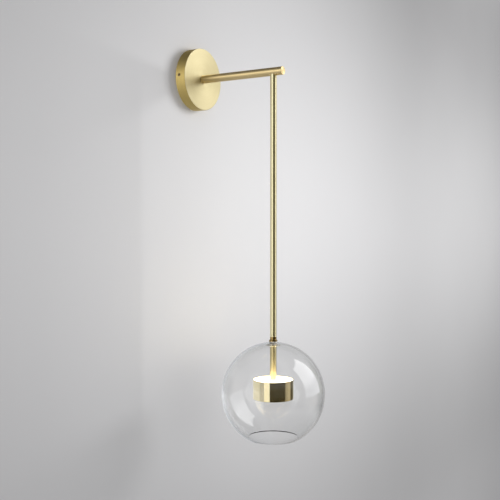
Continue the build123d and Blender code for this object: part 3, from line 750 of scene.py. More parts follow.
@dataclass(frozen=True)
class LitFinish(Finish):
    """A diffuser or chip that gives light, a little brighter over the ring of chips. Its ring is in mm."""

    tone: Colour
    glow: Colour
    faint: Colour
    strength: float
    ring: float = 19.5
    ring_width: float = 9.0
    sampled: bool = True

    def material(self, effects: Effects) -> Material:
        """Makes the lit material, which is a lamp of its own where it is sampled.

        Args:
            effects: The shared effects.

        Returns:
            The material.
        """
        material = super().material(effects)
        material.cycles.emission_sampling = "AUTO" if self.sampled else "NONE"
        return material

    def inputs(self, bench: Bench, effects: Effects) -> dict[str, object]:
        """The lit material's inputs.

        Args:
            bench: The material's bench.
            effects: The shared effects.

        Returns:
            What goes into the Principled shader.
        """
        touch = bench.effect(effects.handling, Size=70.0)
        pits = bench.effect(effects.spark, Scale=3000.0)["Height"]
        place = bench.parts(bench.add("TexCoord").outputs["Object"])
        out = bench.plus(place[1], ROD_OUT * MM)
        radius = bench.math("SQRT", bench.plus(bench.times(place[0], place[0]), bench.times(out, out)))
        away = bench.math("ABSOLUTE", bench.math("SUBTRACT", radius, self.ring * MM))
        hot = bench.span(away, 0.0, self.ring_width * MM, 1.0, 0.0)
        return {
            "Base Color": bench.blend(touch["Smear"], self.tone, toned(self.tone, 0.96)),
            "Roughness": bench.plus(bench.times(touch["Mottle"], 0.10), 0.42),
            "Emission Color": bench.blend(hot, self.faint, self.glow),
            "Emission Strength": self.strength,
            "Normal": bench.bump(pits, 0.3, 10.0),
        }


def drawn_tube(
    name: str, tone: Colour, deep: Colour, roughness: float, around: float, anisotropy: float
) -> MetalFinish:
    """The finish of a drawn brass tube, polished round and lacquered."""
    return MetalFinish(name, tone, deep, roughness, Grain.TURNED, across=900.0, around=around, depth=0.3,
                       anisotropy=anisotropy, swing=0.03, streak=0.15, smear=0.12)


def jacket(name: str, tone: Colour, deep: Colour, roughness: float = 0.32, band: Colour | None = None) -> MouldedFinish:
    """The finish of a lead's extruded jacket, with a band of a second colour where it has one."""
    return MouldedFinish(name, tone, deep, roughness, spark=900.0, coat=0.3, band=band)


FINISHES: tuple[Finish, ...] = (
    # the canopy cover's sides get a painted shade tone, the shaded flank colour
    MetalFinish("spun_brass", (0.69, 0.61, 0.37), (0.65, 0.565, 0.325), 0.45, Grain.TURNED, across=2300.0, around=1.6,
                depth=1.2, anisotropy=0.35, swing=0.06, streak=0.30, smear=0.20, shaded_flank=(0.72, 0.55, 0.20)),
    drawn_tube("brushed_brass", (0.90, 0.71, 0.37), (0.84, 0.64, 0.31), 0.32, around=5.0, anisotropy=0.85),
    drawn_tube("polished_brass", (0.85, 0.77, 0.48), (0.79, 0.70, 0.41), 0.28, around=4.0, anisotropy=0.88),
    drawn_tube("satin_brass", (0.72, 0.61, 0.33), (0.66, 0.54, 0.27), 0.36, around=4.0, anisotropy=0.90),
    MetalFinish("dark_brass", (0.42, 0.29, 0.11), (0.31, 0.20, 0.07), 0.15, Grain.TURNED, depth=1.0, swing=0.05),
    MetalFinish("mirror_brass", (0.86, 0.75, 0.47), (0.82, 0.70, 0.42), 0.055, Grain.TURNED, across=1500.0, around=1.5,
                depth=0.4, anisotropy=0.15, swing=0.035, streak=0.15, smear=0.20, wear=0.4, dust=0.02),
    MetalFinish("raw_brass", (0.78, 0.62, 0.32), (0.62, 0.46, 0.21), 0.27, across=1900.0, depth=8.0),
    MetalFinish("bright_washer", (0.74, 0.71, 0.60), (0.64, 0.60, 0.49), 0.20, Grain.TURNED, depth=2.0,
                edge=(0.93, 0.90, 0.82)),
    MetalFinish("zinc_steel", (0.66, 0.67, 0.68), (0.52, 0.54, 0.57), 0.34, Grain.ACROSS_WALL, across=1300.0,
                depth=8.0, edge=STEEL_EDGE, dust=0.12),
    MetalFinish("black_steel", (0.42, 0.30, 0.13), (0.30, 0.20, 0.08), 0.36, Grain.TURNED, depth=2.0,
                edge=(0.50, 0.40, 0.24), wear=0.8),
    MetalFinish("plated_screw", (0.72, 0.71, 0.68), (0.60, 0.59, 0.56), 0.22, edge=STEEL_EDGE),
    MetalFinish("tinned_copper", (0.74, 0.73, 0.70), (0.62, 0.60, 0.56), 0.30, across=2400.0, edge=STEEL_EDGE),
    MetalFinish("bare_aluminium", (0.74, 0.75, 0.76), (0.62, 0.63, 0.65), 0.42, across=2000.0, depth=20.0,
                edge=STEEL_EDGE),
    MouldedFinish("white_nylon", (0.84, 0.83, 0.79), (0.76, 0.74, 0.69)),
    MouldedFinish("driver_case", (0.82, 0.82, 0.81), (0.74, 0.74, 0.73), roughness=0.5, spark=1700.0, depth=40.0),
    MouldedFinish("foam_pad", (0.050, 0.050, 0.053), (0.030, 0.030, 0.032), roughness=0.85, spark=1500.0, depth=150.0),
    jacket("supply_jacket", (0.055, 0.13, 0.42), (0.04, 0.10, 0.34)),
    jacket("earth_jacket", (0.09, 0.36, 0.07), (0.07, 0.28, 0.05), band=(0.80, 0.66, 0.06)),
    jacket("lamp_jacket", (0.80, 0.79, 0.74), (0.72, 0.70, 0.64), roughness=0.34),
    MouldedFinish("white_board", (0.82, 0.82, 0.79), (0.74, 0.74, 0.70), roughness=0.30, spark=1500.0, depth=10.0,
                  coat=0.4),
    GlassFinish("clear_glass", (0.996, 0.998, 0.997), ior=1.47, roughness=0.0, swing=0.004),
    GlassFinish("clear_silicone", (0.96, 0.95, 0.90), ior=1.41, roughness=0.30, swing=0.10, transmission=0.10,
                wave=300.0, depth=10.0),
    LitFinish("opal_acrylic", (0.90, 0.88, 0.82), glow=(1.0, 0.90, 0.66), faint=(1.0, 0.86, 0.58), strength=6.0),
    LitFinish("phosphor", (0.84, 0.66, 0.12), glow=(1.0, 0.82, 0.45), faint=(0.9, 0.70, 0.35), strength=1.5,
              ring_width=2.4, sampled=False),
)


class Paintshop:
    """Makes each finish's material once and dresses pieces and CAD nodes with them."""

    def __init__(self, finishes: Sequence[Finish]) -> None:
        """Makes all the materials."""
        effects = Effects()
        self.materials = {finish.name: finish.material(effects) for finish in finishes}

    def dress(
        self, thing: Thing, slot: str, *stands_for: str, body: str = "fixture", finish: str | None = None
    ) -> None:
        """Gives a piece its finish, its body and the CAD nodes that it stands for.

        Args:
            thing: The piece.
            slot: The record's slot.
            stands_for: The CAD nodes that it replaces.
            body: The CAD body that it rides on.
            finish: The finish, where it isn't the slot's usual one.
        """
        thing.data.materials.clear()
        thing.data.materials.append(self.materials[finish or slot])
        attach(thing, body)
        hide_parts(*stands_for)
        log.info("%s: %d faces, %s, on %s", thing.name, len(thing.data.polygons), slot, body)

    def carry(self, slot: str, *nodes: str) -> None:
        """Gives CAD nodes that stay a better material.

        Args:
            slot: The finish's name.
            nodes: The nodes' names.
        """
        for node in nodes:
            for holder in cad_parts[node].material_slots:
                holder.material = self.materials[slot]
            log.info("%s: carried over, %s", node, slot)


# ---------------------------------------------------------------------------- sub-assemblies
@dataclass
class Canopy:
    """The spun cover on the wall, its bracket and the two side screws that hold it. Sizes in mm."""

    radius: float = 46.0
    depth: float = 16.5
    front_wall: float = 1.5
    side_wall: float = 1.2
    edge_round: float = 0.6
    inner_round: float = 0.5
    centre_hole: float = 5.2
    side_hole: float = 2.5
    screw_out: float = 6.4
    screw_height: float = 1.8
    screw_radius: float = 2.0
    screw_length: float = 8.0
    screw_tip: float = 45.565
    socket_radius: float = 1.0 / math.cos(math.pi / 6)
    socket_depth: float = 2.5
    thread_depth: float = 0.25
    thread_pitch: float = 0.7
    segments: int = 192
    screw_segments: int = 48
    hole_sides: int = 40

    def cover(self) -> Thing:
        """The cover: a deep dish with a rounded front edge, cut through for the arm and the screws.

        Returns:
            The cover.
        """
        inner = self.radius - self.side_wall
        back = self.depth - self.front_wall
        cover = turned("canopy_cover_spun", [
            Corner(self.radius, 0.0, BROKEN), Corner(self.radius, self.depth, self.edge_round),
            Corner(self.centre_hole, self.depth, BROKEN), Corner(self.centre_hole, back, BROKEN),
            Corner(inner, back, self.inner_round), Corner(inner, 0.0, BROKEN),
        ], OUTWARD, self.segments, longest=4.0)
        cut(cover, *[
            plug(self.side_hole, self.radius - 4.0, self.radius + 2.0,
                 way.seat(self.screw_out, self.screw_height), self.hole_sides)
            for way in (Direction.LEFT, Direction.RIGHT)
        ])
        return cover

    def side_screw(self, way: Direction) -> Thing:
        """One of the two screws, with its thread and its six-sided socket.

        Args:
            way: The side that the screw is on.

        Returns:
            The screw.
        """
        name = f"side_screw_{way.name.lower()}_turned"
        crest, tip = self.screw_radius, self.screw_tip
        root, start = crest - self.thread_depth, tip - self.screw_length
        path: list[Place] = [(0.0, start), (root - 0.3, start), (root, start + 0.3)]
        along = start + 0.5
        while along < tip - 0.75:
            path += [(root, along), (crest, along + 0.28), (crest, along + 0.42)]
            along += self.thread_pitch
        path += [(root, along), (crest, tip - 0.4), (crest - 0.2, tip), (0.0, tip)]
        seat = way.seat(self.screw_out, self.screw_height)
        screw = turned(name, [Corner(*place) for place in path], seat, self.screw_segments, closed=False)
        cut(screw, plug(self.socket_radius, tip - self.socket_depth, tip + 1.0, seat, sides=6))
        return screw

    def build(self, shop: Paintshop) -> None:
        """Builds and dresses the canopy's pieces.

        Args:
            shop: The finishes.
        """
        shop.dress(self.cover(), "spun_brass", "canopy_cover")
        for way in (Direction.LEFT, Direction.RIGHT):
            side = way.name.lower()
            shop.dress(self.side_screw(way), "black_steel", f"side_screw_{side}", body=f"{side}_screw")
        shop.carry("zinc_steel", "wall_bracket")


@dataclass
class Wiring:
    """What the canopy holds: the terminal block, the earth, the driver and their leads, whose shapes stay."""

    finishes: tuple[tuple[str, ...], ...] = (
        ("white_nylon", "terminal_block"), ("plated_screw", "terminal_clamp_screws", "terminal_fixing_screws"),
        ("raw_brass", "earth_screw"), ("tinned_copper", "earth_terminal"), ("earth_jacket", "earth_lead"),
        ("driver_case", "led_driver"), ("foam_pad", "driver_pad"), ("supply_jacket", "driver_input_leads"),
        ("lamp_jacket", "lamp_lead"),
    )

    def build(self, shop: Paintshop) -> None:
        """Dresses the CAD nodes of the wiring."""
        for slot, *nodes in self.finishes:
            shop.carry(slot, *nodes)


@dataclass
class Arm:
    """The straight arm out of the canopy, its end cap and what fixes it. Sizes in mm."""

    radius: float = 6.0
    bore: float = 4.5
    start: float = 16.5
    cap_seat: float = 156.3
    end: float = 157.5
    cap_chamfer: float = 0.3
    spigot_radius: float = 4.48
    spigot_length: float = 5.0
    tube_rounds: tuple[float, ...] = (0.15, DEBURRED, DEBURRED, DEBURRED)
    spigot_round: float = 0.3
    segments: int = 128

    def tube(self) -> Thing:
        """The arm's tube."""
        corners = tube_corners(self.radius, self.bore, self.start, self.cap_seat, self.tube_rounds)
        return turned("arm_tube_drawn", corners, OUTWARD, self.segments, longest=12.0)

    def cap(self) -> Thing:
        """The cap pressed into the arm's end, with its spigot.

        Returns:
            The cap.
        """
        foot = self.cap_seat - self.spigot_length
        return turned("arm_end_cap_turned", [
            Corner(0.0, self.end), Corner(self.radius - self.cap_chamfer, self.end, BROKEN),
            Corner(self.radius, self.end - self.cap_chamfer, BROKEN), Corner(self.radius, self.cap_seat, DEBURRED),
            Corner(self.spigot_radius, self.cap_seat), Corner(self.spigot_radius, foot, self.spigot_round),
            Corner(0.0, foot),
        ], OUTWARD, self.segments, longest=1.5, closed=False)

    def build(self, shop: Paintshop) -> None:
        """Builds and dresses the arm's pieces.

        Args:
            shop: The finishes.
        """
        shop.dress(self.tube(), "brushed_brass", "arm_tube")
        shop.dress(self.cap(), "brushed_brass", "arm_end_cap")
        shop.carry("raw_brass", "arm_nipple", "arm_lock_nut", "tee_insert")
        shop.carry("zinc_steel", "arm_lock_washer")
        shop.carry("white_nylon", "nipple_bush")


@dataclass
class DropRod:
    """The rod under the arm and the collar at its foot. Sizes in mm, heights from the arm's axis."""

    arm_radius: float = 6.0
    radius: float = 4.75
    bore: float = 3.55
    bottom: float = -381.5
    saddle_clearance: float = 0.03
    saddle_round: float = 0.06
    foot_round: float = 0.18
    collar_bore: float = 4.03
    taper_top: float = -385.5
    taper_round: float = 0.5
    flange_top: float = -386.5
    flange_radius: float = 6.1
    flange_bottom: float = -388.3
    flange_round: float = 0.22
    segments: int = 112

    def saddle(self, x: float, y: float, along: float) -> float:
        """The height of a point of the rod, whose top end follows the arm's underside."""
        under_arm = -math.sqrt(self.arm_radius**2 - x * x) - self.saddle_clearance
        return under_arm + along if along > -1.0 else along

    def rod(self) -> Thing:
        """The rod.

        Returns:
            The rod.
        """
        rounds = (self.foot_round, self.saddle_round, self.saddle_round, DEBURRED)
        corners = tube_corners(self.radius, self.bore, self.bottom, 0.0, rounds)
        return turned("drop_rod_drawn", corners, UPRIGHT, self.segments, longest=16.0, shift=self.saddle)

    def collar(self) -> Thing:
        """The collar that the globe hangs under.

        Returns:
            The collar.
        """
        return turned("globe_collar_turned", [
            Corner(self.collar_bore, self.bottom, DEBURRED), Corner(self.radius, self.bottom, self.foot_round),
            Corner(self.radius, self.taper_top, self.taper_round),
            Corner(self.flange_radius, self.flange_top, self.flange_round),
            Corner(self.flange_radius, self.flange_bottom, self.flange_round),
            Corner(self.collar_bore, self.flange_bottom, DEBURRED),
        ], UPRIGHT, self.segments, longest=1.5)

    def build(self, shop: Paintshop) -> None:
        """Builds and dresses the rod's pieces.

        Args:
            shop: The finishes.
        """
        shop.dress(self.rod(), "polished_brass", "drop_rod")
        shop.dress(self.collar(), "dark_brass", "globe_collar")
        shop.carry("raw_brass", "rod_stud", "globe_spindle")


@dataclass
class Globe:
    """The blown globe between its two washers, and the washer that carries it. Sizes in mm."""

    outer: float = 75.0
    inner: float = 72.5
    top_hole: float = 4.7
    hole_round: float = 0.35
    mouth: float = 35.5
    rim_round: float = 1.0
    washer_bore: float = 4.15
    washer_round: float = 0.15
    clearance: float = 0.2
    upper_radius: float = 6.1
    upper_top: float = -388.3
    lower_radius: float = 9.0
    lower_bottom: float = -393.762
    support_radius: float = 10.0
    support_thickness: float = 1.5
    support_chamfer: float = 0.3
    segments: int = 224
    washer_segments: int = 112
    arc_runs: int = 90
    washer_runs: int = 8

    def shell(self) -> Thing:
        """The glass: one wall with a ground and polished mouth and a hole at the top.

        Returns:
            The glass.
        """
        low = -math.acos(self.mouth / self.inner)
        top = [math.acos(self.top_hole / sphere) for sphere in (self.outer, self.inner)]
        outside = arc_corners(GLOBE_CENTRE, self.outer, top[0], low, self.arc_runs)
        inside = arc_corners(GLOBE_CENTRE, self.inner, low, top[1], self.arc_runs)
        return turned("glass_globe_blown", [
            Corner(self.top_hole, outside[0].along, self.hole_round), *outside[1:-1],
            Corner(outside[-1].radius, outside[-1].along, self.rim_round),
            Corner(inside[0].radius, inside[0].along, self.rim_round), *inside[1:-1],
            Corner(self.top_hole, inside[-1].along, self.hole_round),
        ], UPRIGHT, self.segments, steps=8, crease=60.0)

    def washer(self, name: str, radius: float, flat: float, sphere: float) -> Thing:
        """A washer with one flat side and one that follows the glass.

        Args:
            name: The piece's name.
            radius: Its outer radius.
            flat: The height of its flat side.
            sphere: The radius of its other side.

        Returns:
            The washer.
        """
        step = (radius - self.washer_bore) / self.washer_runs
        curve = [self.washer_bore + step * run for run in range(self.washer_runs + 1)]
        return turned(name, [
            Corner(radius, flat, self.washer_round), Corner(self.washer_bore, flat, DEBURRED),
            *[Corner(r, GLOBE_CENTRE + math.sqrt(sphere**2 - r**2), BROKEN if r in (curve[0], curve[-1]) else 0.0)
              for r in curve],
        ], UPRIGHT, self.washer_segments)

    def support(self) -> Thing:
        """The bright washer on top of the stem.

        Returns:
            The washer.
        """
        top, low = self.lower_bottom, self.lower_bottom - self.support_thickness
        rim, bevel = self.support_radius, self.support_chamfer
        places = ((self.washer_bore, low), (rim - bevel, low), (rim, low + bevel),
                  (rim, top - bevel), (rim - bevel, top), (self.washer_bore, top))
        corners = [Corner(*place, DEBURRED) for place in places]
        return turned("support_washer_turned", corners, UPRIGHT, self.washer_segments, longest=2.0)

    def build(self, shop: Paintshop) -> None:
        """Builds and dresses the globe and its washers.

        Args:
            shop: The finishes.
        """
        upper = self.washer(
            "upper_glass_washer_moulded", self.upper_radius, self.upper_top, self.outer + self.clearance)
        lower = self.washer(
            "lower_glass_washer_moulded", self.lower_radius, self.lower_bottom, self.inner - self.clearance)
        shop.dress(self.shell(), "clear_glass", "glass_globe", body="globe")
        shop.dress(upper, "clear_silicone", "upper_glass_washer")
        shop.dress(lower, "clear_silicone", "lower_glass_washer")
        shop.dress(self.support(), "bright_washer", "support_washer")


@dataclass
class Head:
    """The stem and the drum-shaped lamp head. Sizes in mm, heights from the arm's axis."""

    stem_radius: float = 4.75
    stem_bore: float = 3.55
    stem_top: float = -395.262
    stem_bottom: float = -455.062
    stem_rounds: tuple[float, ...] = (DEBURRED, 0.15, DEBURRED, DEBURRED)
    stem_segments: int = 112
    radius: float = 29.5
    rim: float = -443.462
    bottom: float = -471.462
    chamfer: float = 0.4
    rim_round: float = 0.14
    rim_bore: float = 28.3
    ledge: float = -446.762
    bore: float = 27.3
    floor: float = -469.462
    floor_round: float = 0.4
    diffuser_radius: float = 28.2
    diffuser_hole: float = 4.95
    diffuser_thickness: float = 2.8
    diffuser_rounds: tuple[float, ...] = (0.2, 0.35, 0.2, 0.2)
    segments: int = 192

    def stem(self) -> Thing:
        """The stem between the support washer and the heat sink."""
        corners = tube_corners(self.stem_radius, self.stem_bore, self.stem_bottom, self.stem_top, self.stem_rounds)
        return turned("lamp_stem_drawn", corners, UPRIGHT, self.stem_segments, longest=6.0)

    def housing(self) -> Thing:
        """The drum: a mirror-bright wall with a fine rim round the diffuser.

        Returns:
            The drum.
        """
        return turned("head_housing_turned", [
            Corner(0.0, self.bottom), Corner(self.radius - self.chamfer, self.bottom, BROKEN),
            Corner(self.radius, self.bottom + self.chamfer, BROKEN), Corner(self.radius, self.rim, self.rim_round),
            Corner(self.rim_bore, self.rim, self.rim_round), Corner(self.rim_bore, self.ledge),
            Corner(self.bore, self.ledge, DEBURRED), Corner(self.bore, self.floor, self.floor_round),
            Corner(0.0, self.floor),
        ], UPRIGHT, self.segments, longest=4.0, closed=False)

    def diffuser(self) -> Thing:
        """The opal disc that the lamp shines through.

        Returns:
            The disc.
        """
        top = self.ledge + self.diffuser_thickness
        corners = tube_corners(self.diffuser_radius, self.diffuser_hole, self.ledge, top, self.diffuser_rounds)
        return turned("diffuser_moulded", corners, UPRIGHT, self.segments, longest=3.0)

    def build(self, shop: Paintshop) -> None:
        """Builds and dresses the stem and the head.

        Args:
            shop: The finishes.
        """
        shop.dress(self.stem(), "polished_brass", "lamp_stem", finish="satin_brass")
        shop.dress(self.housing(), "mirror_brass", "head_housing")
        shop.dress(self.diffuser(), "opal_acrylic", "diffuser")
        for slot, node in (("raw_brass", "head_nipple"), ("bare_aluminium", "heat_sink"), ("white_board", "led_board"),
                           ("phosphor", "led_chips"), ("plated_screw", "board_screws")):
            shop.carry(slot, node)


# ---------------------------------------------------------------------------- studio
@dataclass(frozen=True)
class Panel:
    """A square soft light for matt surfaces, aimed at a point. Places and sizes in metres, the level as radiance."""

    name: str
    place: Point
    side: float
    level: float

    def hang(self, target: Point) -> None:
        """Hangs the panel.

        Args:
            target: The point that it faces.
        """
        light = bpy.data.lights.new(self.name, "AREA")
        light.shape, light.size, light.size_y = "RECTANGLE", self.side, self.side
        light.energy = self.level * self.side * self.side * math.pi
        lamp = bpy.data.objects.new(self.name, light)
        bpy.context.scene.collection.objects.link(lamp)
        lamp.location = self.place
        lamp.rotation_euler = (Vector(target) - lamp.location).to_track_quat("-Z", "Y").to_euler()
        lamp.visible_camera = lamp.visible_transmission = lamp.visible_glossy = False


@dataclass(frozen=True)
class Pool:
    """A soft pool of light or shade on the wall, in metres: its middle, and its reach left, right, down and up."""

    strength: float
    centre: Point
    reach: tuple[float, float, float, float]
    thickness: float = 3.0

    def light(self, bench: Bench, place: Socket) -> Socket:
        """What the pool adds to the wall's paleness.

        Args:
            bench: The wall's bench.
            place: The place on the wall.

        Returns:
            The number's socket.
        """
        parts = bench.parts(bench.vector("SUBTRACT", place, self.centre))
        left, right, down, up = self.reach
        away = bench.add("CombineXYZ")
        for axis, (low, high) in enumerate(((left, right), (self.thickness, self.thickness), (down, up))):
            sides = [bench.math("DIVIDE", parts[axis], side) for side in (high, -low)]
            bench.feed(away.inputs[axis], bench.math("MAXIMUM", *sides))
        return bench.span(bench.vector("LENGTH", away.outputs[0]), 0.0, 1.0, self.strength, 0.0)


@dataclass(frozen=True)
class Sweep:
    """A range of directions with soft ends: where it comes in and where it goes out, in degrees."""

    rise: Place
    fall: Place

    def mask(self, bench: Bench, value: object, falling: object = None) -> Socket:
        """1 inside the range and 0 outside it. The far end may go by another direction than the near one."""
        return bench.times(bench.span(value, *self.rise), bench.span(falling or value, *self.fall, 1.0, 0.0))


@dataclass(frozen=True)
class Stop:
    """One stop of a ramp: its angle in degrees, its level, and how warm it is."""

    angle: float
    level: float
    warmth: float = 0.0

    def colour(self) -> tuple[float, float, float, float]:
        """The stop's colour, with less green and still less blue where it is warm."""
        return self.level, self.level * (1 - 0.22 * self.warmth), self.level * (1 - 0.50 * self.warmth), 1.0


@dataclass(frozen=True)
class Surround:
    """What metal and glass reflect. Directions in degrees: round from X towards Y, and up from level."""

    bands: tuple[Stop, ...] = (
        Stop(0.0, 0.42), Stop(26.0, 0.55), Stop(34.0, 0.80, -0.1), Stop(126.0, 0.82, -0.1), Stop(134.0, 0.52),
        Stop(148.0, 0.56), Stop(190.0, 0.56), Stop(193.0, 0.036, 1.2), Stop(236.0, 0.022, 1.2),
        Stop(281.0, 0.036, 1.2), Stop(286.0, 0.34, 0.4), Stop(311.0, 0.56, 0.4), Stop(324.0, 0.46, 0.4),
        Stop(329.0, 0.07, 0.8), Stop(350.0, 0.06, 0.6), Stop(356.0, 0.14, 0.3), Stop(359.9, 0.36),
    )
    fades: tuple[Stop, ...] = (  # their angles are twice the angle up from straight down
        Stop(0.0, 0.52), Stop(60.0, 0.46), Stop(102.0, 0.45), Stop(130.0, 0.70), Stop(150.0, 0.96),
        Stop(158.0, 1.0), Stop(208.0, 1.0), Stop(228.0, 0.62), Stop(254.0, 0.32), Stop(294.0, 0.18),
        Stop(360.0, 0.16),
    )
    strip: Sweep = Sweep((158.0, 161.0), (190.0, 193.0))
    strip_levels: Place = (1.28, 1.70)
    strip_lean: Place = (11.0, 14.0)
    strip_rise: Place = (-10.0, -7.0)
    floor_tone: Colour = (0.115, 0.112, 0.055)
    floor_rise: Place = (-9.5, -7.0)
    steep_tone: Colour = (0.80, 0.79, 0.78)
    steep_rise: Place = (17.0, 30.0)
    wall: Sweep = Sweep((24.0, 34.0), (126.0, 134.0))
    wall_shade: Colour = (0.74, 0.74, 0.74)
    box_round: Sweep = Sweep((287.0, 289.0), (336.0, 338.0))
    box_up: Sweep = Sweep((-5.5, -3.5), (50.0, 54.0))
    box_rise: Place = (6.0, 24.0)
    box_levels: Place = (1.40, 2.95)

    @staticmethod
    def ramp(bench: Bench, share: object, stops: Sequence[Stop]) -> Socket:
        """A ramp over a full turn.

        Args:
            bench: The world's bench.
            share: The place in the turn, from 0 to 1.
            stops: The stops in order.

        Returns:
            The colour's socket.
        """
        node = bench.add("ValToRGB")
        elements = node.color_ramp.elements
        while len(elements) < len(stops):
            elements.new(0.5)
        for element, stop in zip(elements, stops):
            element.position, element.color = stop.angle / FULL_TURN, stop.colour()
        return bench.wire(node, {0: share})[0]

    def gloss(self, bench: Bench) -> Socket:
        """Bright and dark bands round the horizon, a leaning bright strip and a large soft box.

        Args:
            bench: The world's bench.

        Returns:
            The colour's socket.
        """
        way = bench.parts(bench.add("TexCoord").outputs["Generated"])
        turn = bench.math("DIVIDE", bench.math("ARCTAN2", way[1], way[0]), 2 * math.pi)
        turn = bench.math("FRACT", bench.plus(turn, 1.0))
        angle = bench.times(turn, FULL_TURN)
        height = bench.times(bench.math("ARCSINE", way[2]), 180 / math.pi)
        start, most = self.strip_lean
        lean = bench.math("MINIMUM", bench.math("MAXIMUM", bench.plus(height, start), 0.0), most)
        strip = self.strip.mask(bench, bench.plus(angle, lean), angle)
        strip_level = bench.span(height, *self.strip_rise, *self.strip_levels)
        level = bench.blend(strip, self.ramp(bench, turn, self.bands), strip_level)
        level = bench.blend(bench.span(height, *self.floor_rise), level, self.floor_tone, "LIGHTEN")
        steep = bench.span(bench.math("ABSOLUTE", height), *self.steep_rise)
        level = bench.blend(steep, level, self.steep_tone, "LIGHTEN")
        fade = self.ramp(bench, bench.plus(bench.math("DIVIDE", height, 180.0), 0.5), self.fades)
        level = bench.blend(1.0, level, fade, "MULTIPLY")
        upper_wall = bench.times(self.wall.mask(bench, angle), bench.span(height, *self.strip_rise))
        level = bench.blend(upper_wall, level, bench.blend(1.0, level, self.wall_shade, "MULTIPLY"))
        box = bench.times(self.box_round.mask(bench, angle), self.box_up.mask(bench, height))
        return bench.blend(box, level, bench.span(height, *self.box_rise, *self.box_levels))


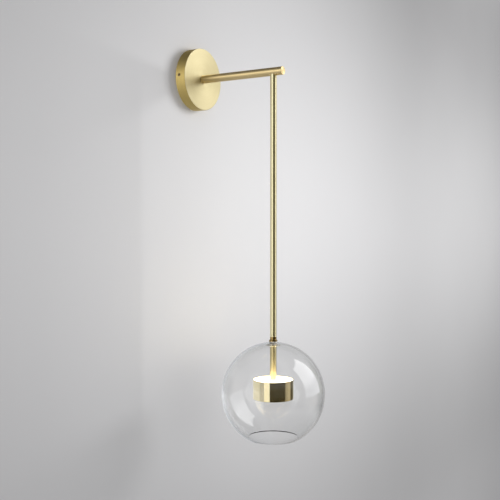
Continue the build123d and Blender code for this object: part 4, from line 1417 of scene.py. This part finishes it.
@dataclass
class Studio:
    """The camera, the pale wall and floor, the soft lights and the surroundings. Places in metres."""

    camera_place: Point = (-1.0453033, -0.7850470, -0.2169567)
    camera_turn: float = -0.9915237
    camera_dip: float = 0.0317940
    lens: float = 61.239
    sensor: float = 36.0
    left: float = -3.0
    right: float = 3.5
    front: float = -3.5
    back: float = 3.0
    floor_height: float = -1.30
    wall_top: float = 1.8
    wall_gap: float = 0.0003
    wall_level: float = 0.482
    wall_tint: Colour = (1.0, 0.994, 1.004)
    wall_pools: tuple[Pool, ...] = (
        Pool(0.395, (0.318, 0.0, -0.217), (1.538, 2.914, 0.704, 0.727)),
        Pool(-0.389, (0.908, 0.0, -0.096), (0.932, 1.965, 1.092, 1.212)),
    )
    floor_level: float = 0.50
    floor_tint: Colour = (1.0, 1.0, 1.0)
    floor_glow: float = 0.36
    mottle: float = 0.03
    panels: tuple[Panel, ...] = (
        Panel("key_soft_box", (1.40, -1.15, 0.24), 0.8, 12.5),
        Panel("front_fill", (0.20, -2.00, 0.00), 1.6, 0.56),
    )
    aim: Point = (0.0, -0.10, -0.30)
    fill_tone: Colour = (0.37, 0.37, 0.3737)
    seen_tone: Colour = (0.74, 0.74, 0.75)
    surround: Surround = Surround()

    def camera(self) -> None:
        """Puts the camera at the picture's viewing angle."""
        data = bpy.data.cameras.new("view_camera")
        data.sensor_width, data.lens, data.clip_start = self.sensor, self.lens, 0.01
        camera = bpy.data.objects.new("view_camera", data)
        bpy.context.scene.collection.objects.link(camera)
        camera.location = self.camera_place
        camera.rotation_euler = Euler((math.pi / 2 - self.camera_dip, 0.0, self.camera_turn))
        bpy.context.scene.camera = camera

    def stage_paint(
        self, name: str, level: float, tint: Colour, pools: Sequence[Pool] = (), glow: float = 0.0
    ) -> Material:
        """A pale painted surface with soft pools of light on it.

        Args:
            name: The material's name.
            level: How pale it is far from every pool.
            tint: The paint's tint.
            pools: The pools that brighten or shade it.
            glow: How much light it adds of its own, so that it stays pale where the lamps don't reach.

        Returns:
            The material, which can't be seen from behind or in a reflection.
        """
        material = bpy.data.materials.new(name)
        material.use_nodes = True
        bench = Bench(material.node_tree)
        geometry = bench.add("NewGeometry").outputs
        share: object = level
        for pool in pools:
            share = bench.plus(share, pool.light(bench, geometry["Position"]))
        unevenness = bench.math("SUBTRACT", bench.noise(geometry["Position"], 3.0, 3.0), 0.5)
        share = bench.plus(share, bench.times(unevenness, self.mottle), clamp=True)
        diffuse = bench.wire(bench.add("BsdfDiffuse"), {"Color": bench.blend(share, (0.0, 0.0, 0.0), tint)})[0]
        own = bench.wire(bench.add("Emission"), {"Strength": glow})[0]
        mix = bench.wire(bench.add("MixShader"), {
            0: bench.math("MAXIMUM", geometry["Backfacing"], bench.reflected()),
            1: bench.wire(bench.add("AddShader"), {0: diffuse, 1: own})[0],
            2: bench.add("BsdfTransparent").outputs[0],
        })[0]
        bench.wire(bench.add("OutputMaterial"), {"Surface": mix})
        return material

    def backdrop(self) -> None:
        """The pale wall that the sconce hangs on, and the floor below it."""
        low = self.floor_height
        wall = [(x, self.wall_gap, z) for x, z in (
            (self.left, low), (self.right, low), (self.right, self.wall_top), (self.left, self.wall_top))]
        floor = [(x, y, low) for x, y in (
            (self.left, self.front), (self.right, self.front), (self.right, self.back), (self.left, self.back))]
        wall_paint = self.stage_paint("stage_wall_paint", self.wall_level, self.wall_tint, self.wall_pools)
        floor_paint = self.stage_paint("stage_floor_paint", self.floor_level, self.floor_tint, glow=self.floor_glow)
        for name, corners, paint in (("stage_wall", wall, wall_paint), ("stage_floor", floor, floor_paint)):
            mesh = bpy.data.meshes.new(name)
            mesh.from_pydata(corners, [], [(0, 1, 2, 3)])
            mesh.materials.append(paint)
            sheet = piece(name, mesh)
            sheet.visible_glossy = sheet.visible_diffuse = sheet.visible_shadow = False

    def world(self) -> None:
        """The world: a plain light for matt surfaces, and the surroundings for metal and glass."""
        world = bpy.data.worlds.new("studio_surround")
        world.use_nodes = True
        world.cycles.sampling_method = "NONE"
        bpy.context.scene.world = world
        bench = Bench(world.node_tree)
        path = bench.add("LightPath").outputs
        seen = bench.math("MAXIMUM", path["Is Camera Ray"], path["Is Transmission Ray"])
        colour = bench.blend(seen, self.fill_tone, self.seen_tone)
        colour = bench.blend(bench.reflected(), colour, self.surround.gloss(bench))
        background = bench.wire(bench.add("Background"), {"Color": colour})[0]
        bench.wire(bench.add("OutputWorld"), {"Surface": background})

    def build(self) -> None:
        """Sets the whole studio up."""
        self.camera()
        self.backdrop()
        self.world()
        for panel in self.panels:
            panel.hang(self.aim)
        bpy.context.scene.view_settings.view_transform = "Standard"
        log.info("studio: camera, %d panels, wall, floor and surroundings", len(self.panels))


def main() -> None:
    """Builds the sconce and the studio."""
    logging.basicConfig(level=logging.INFO, format="%(name)s %(message)s")
    Studio().build()
    shop = Paintshop(FINISHES)
    for assembly in (Canopy(), Wiring(), Arm(), DropRod(), Globe(), Head()):
        assembly.build(shop)


if __name__ == "__main__":
    main()
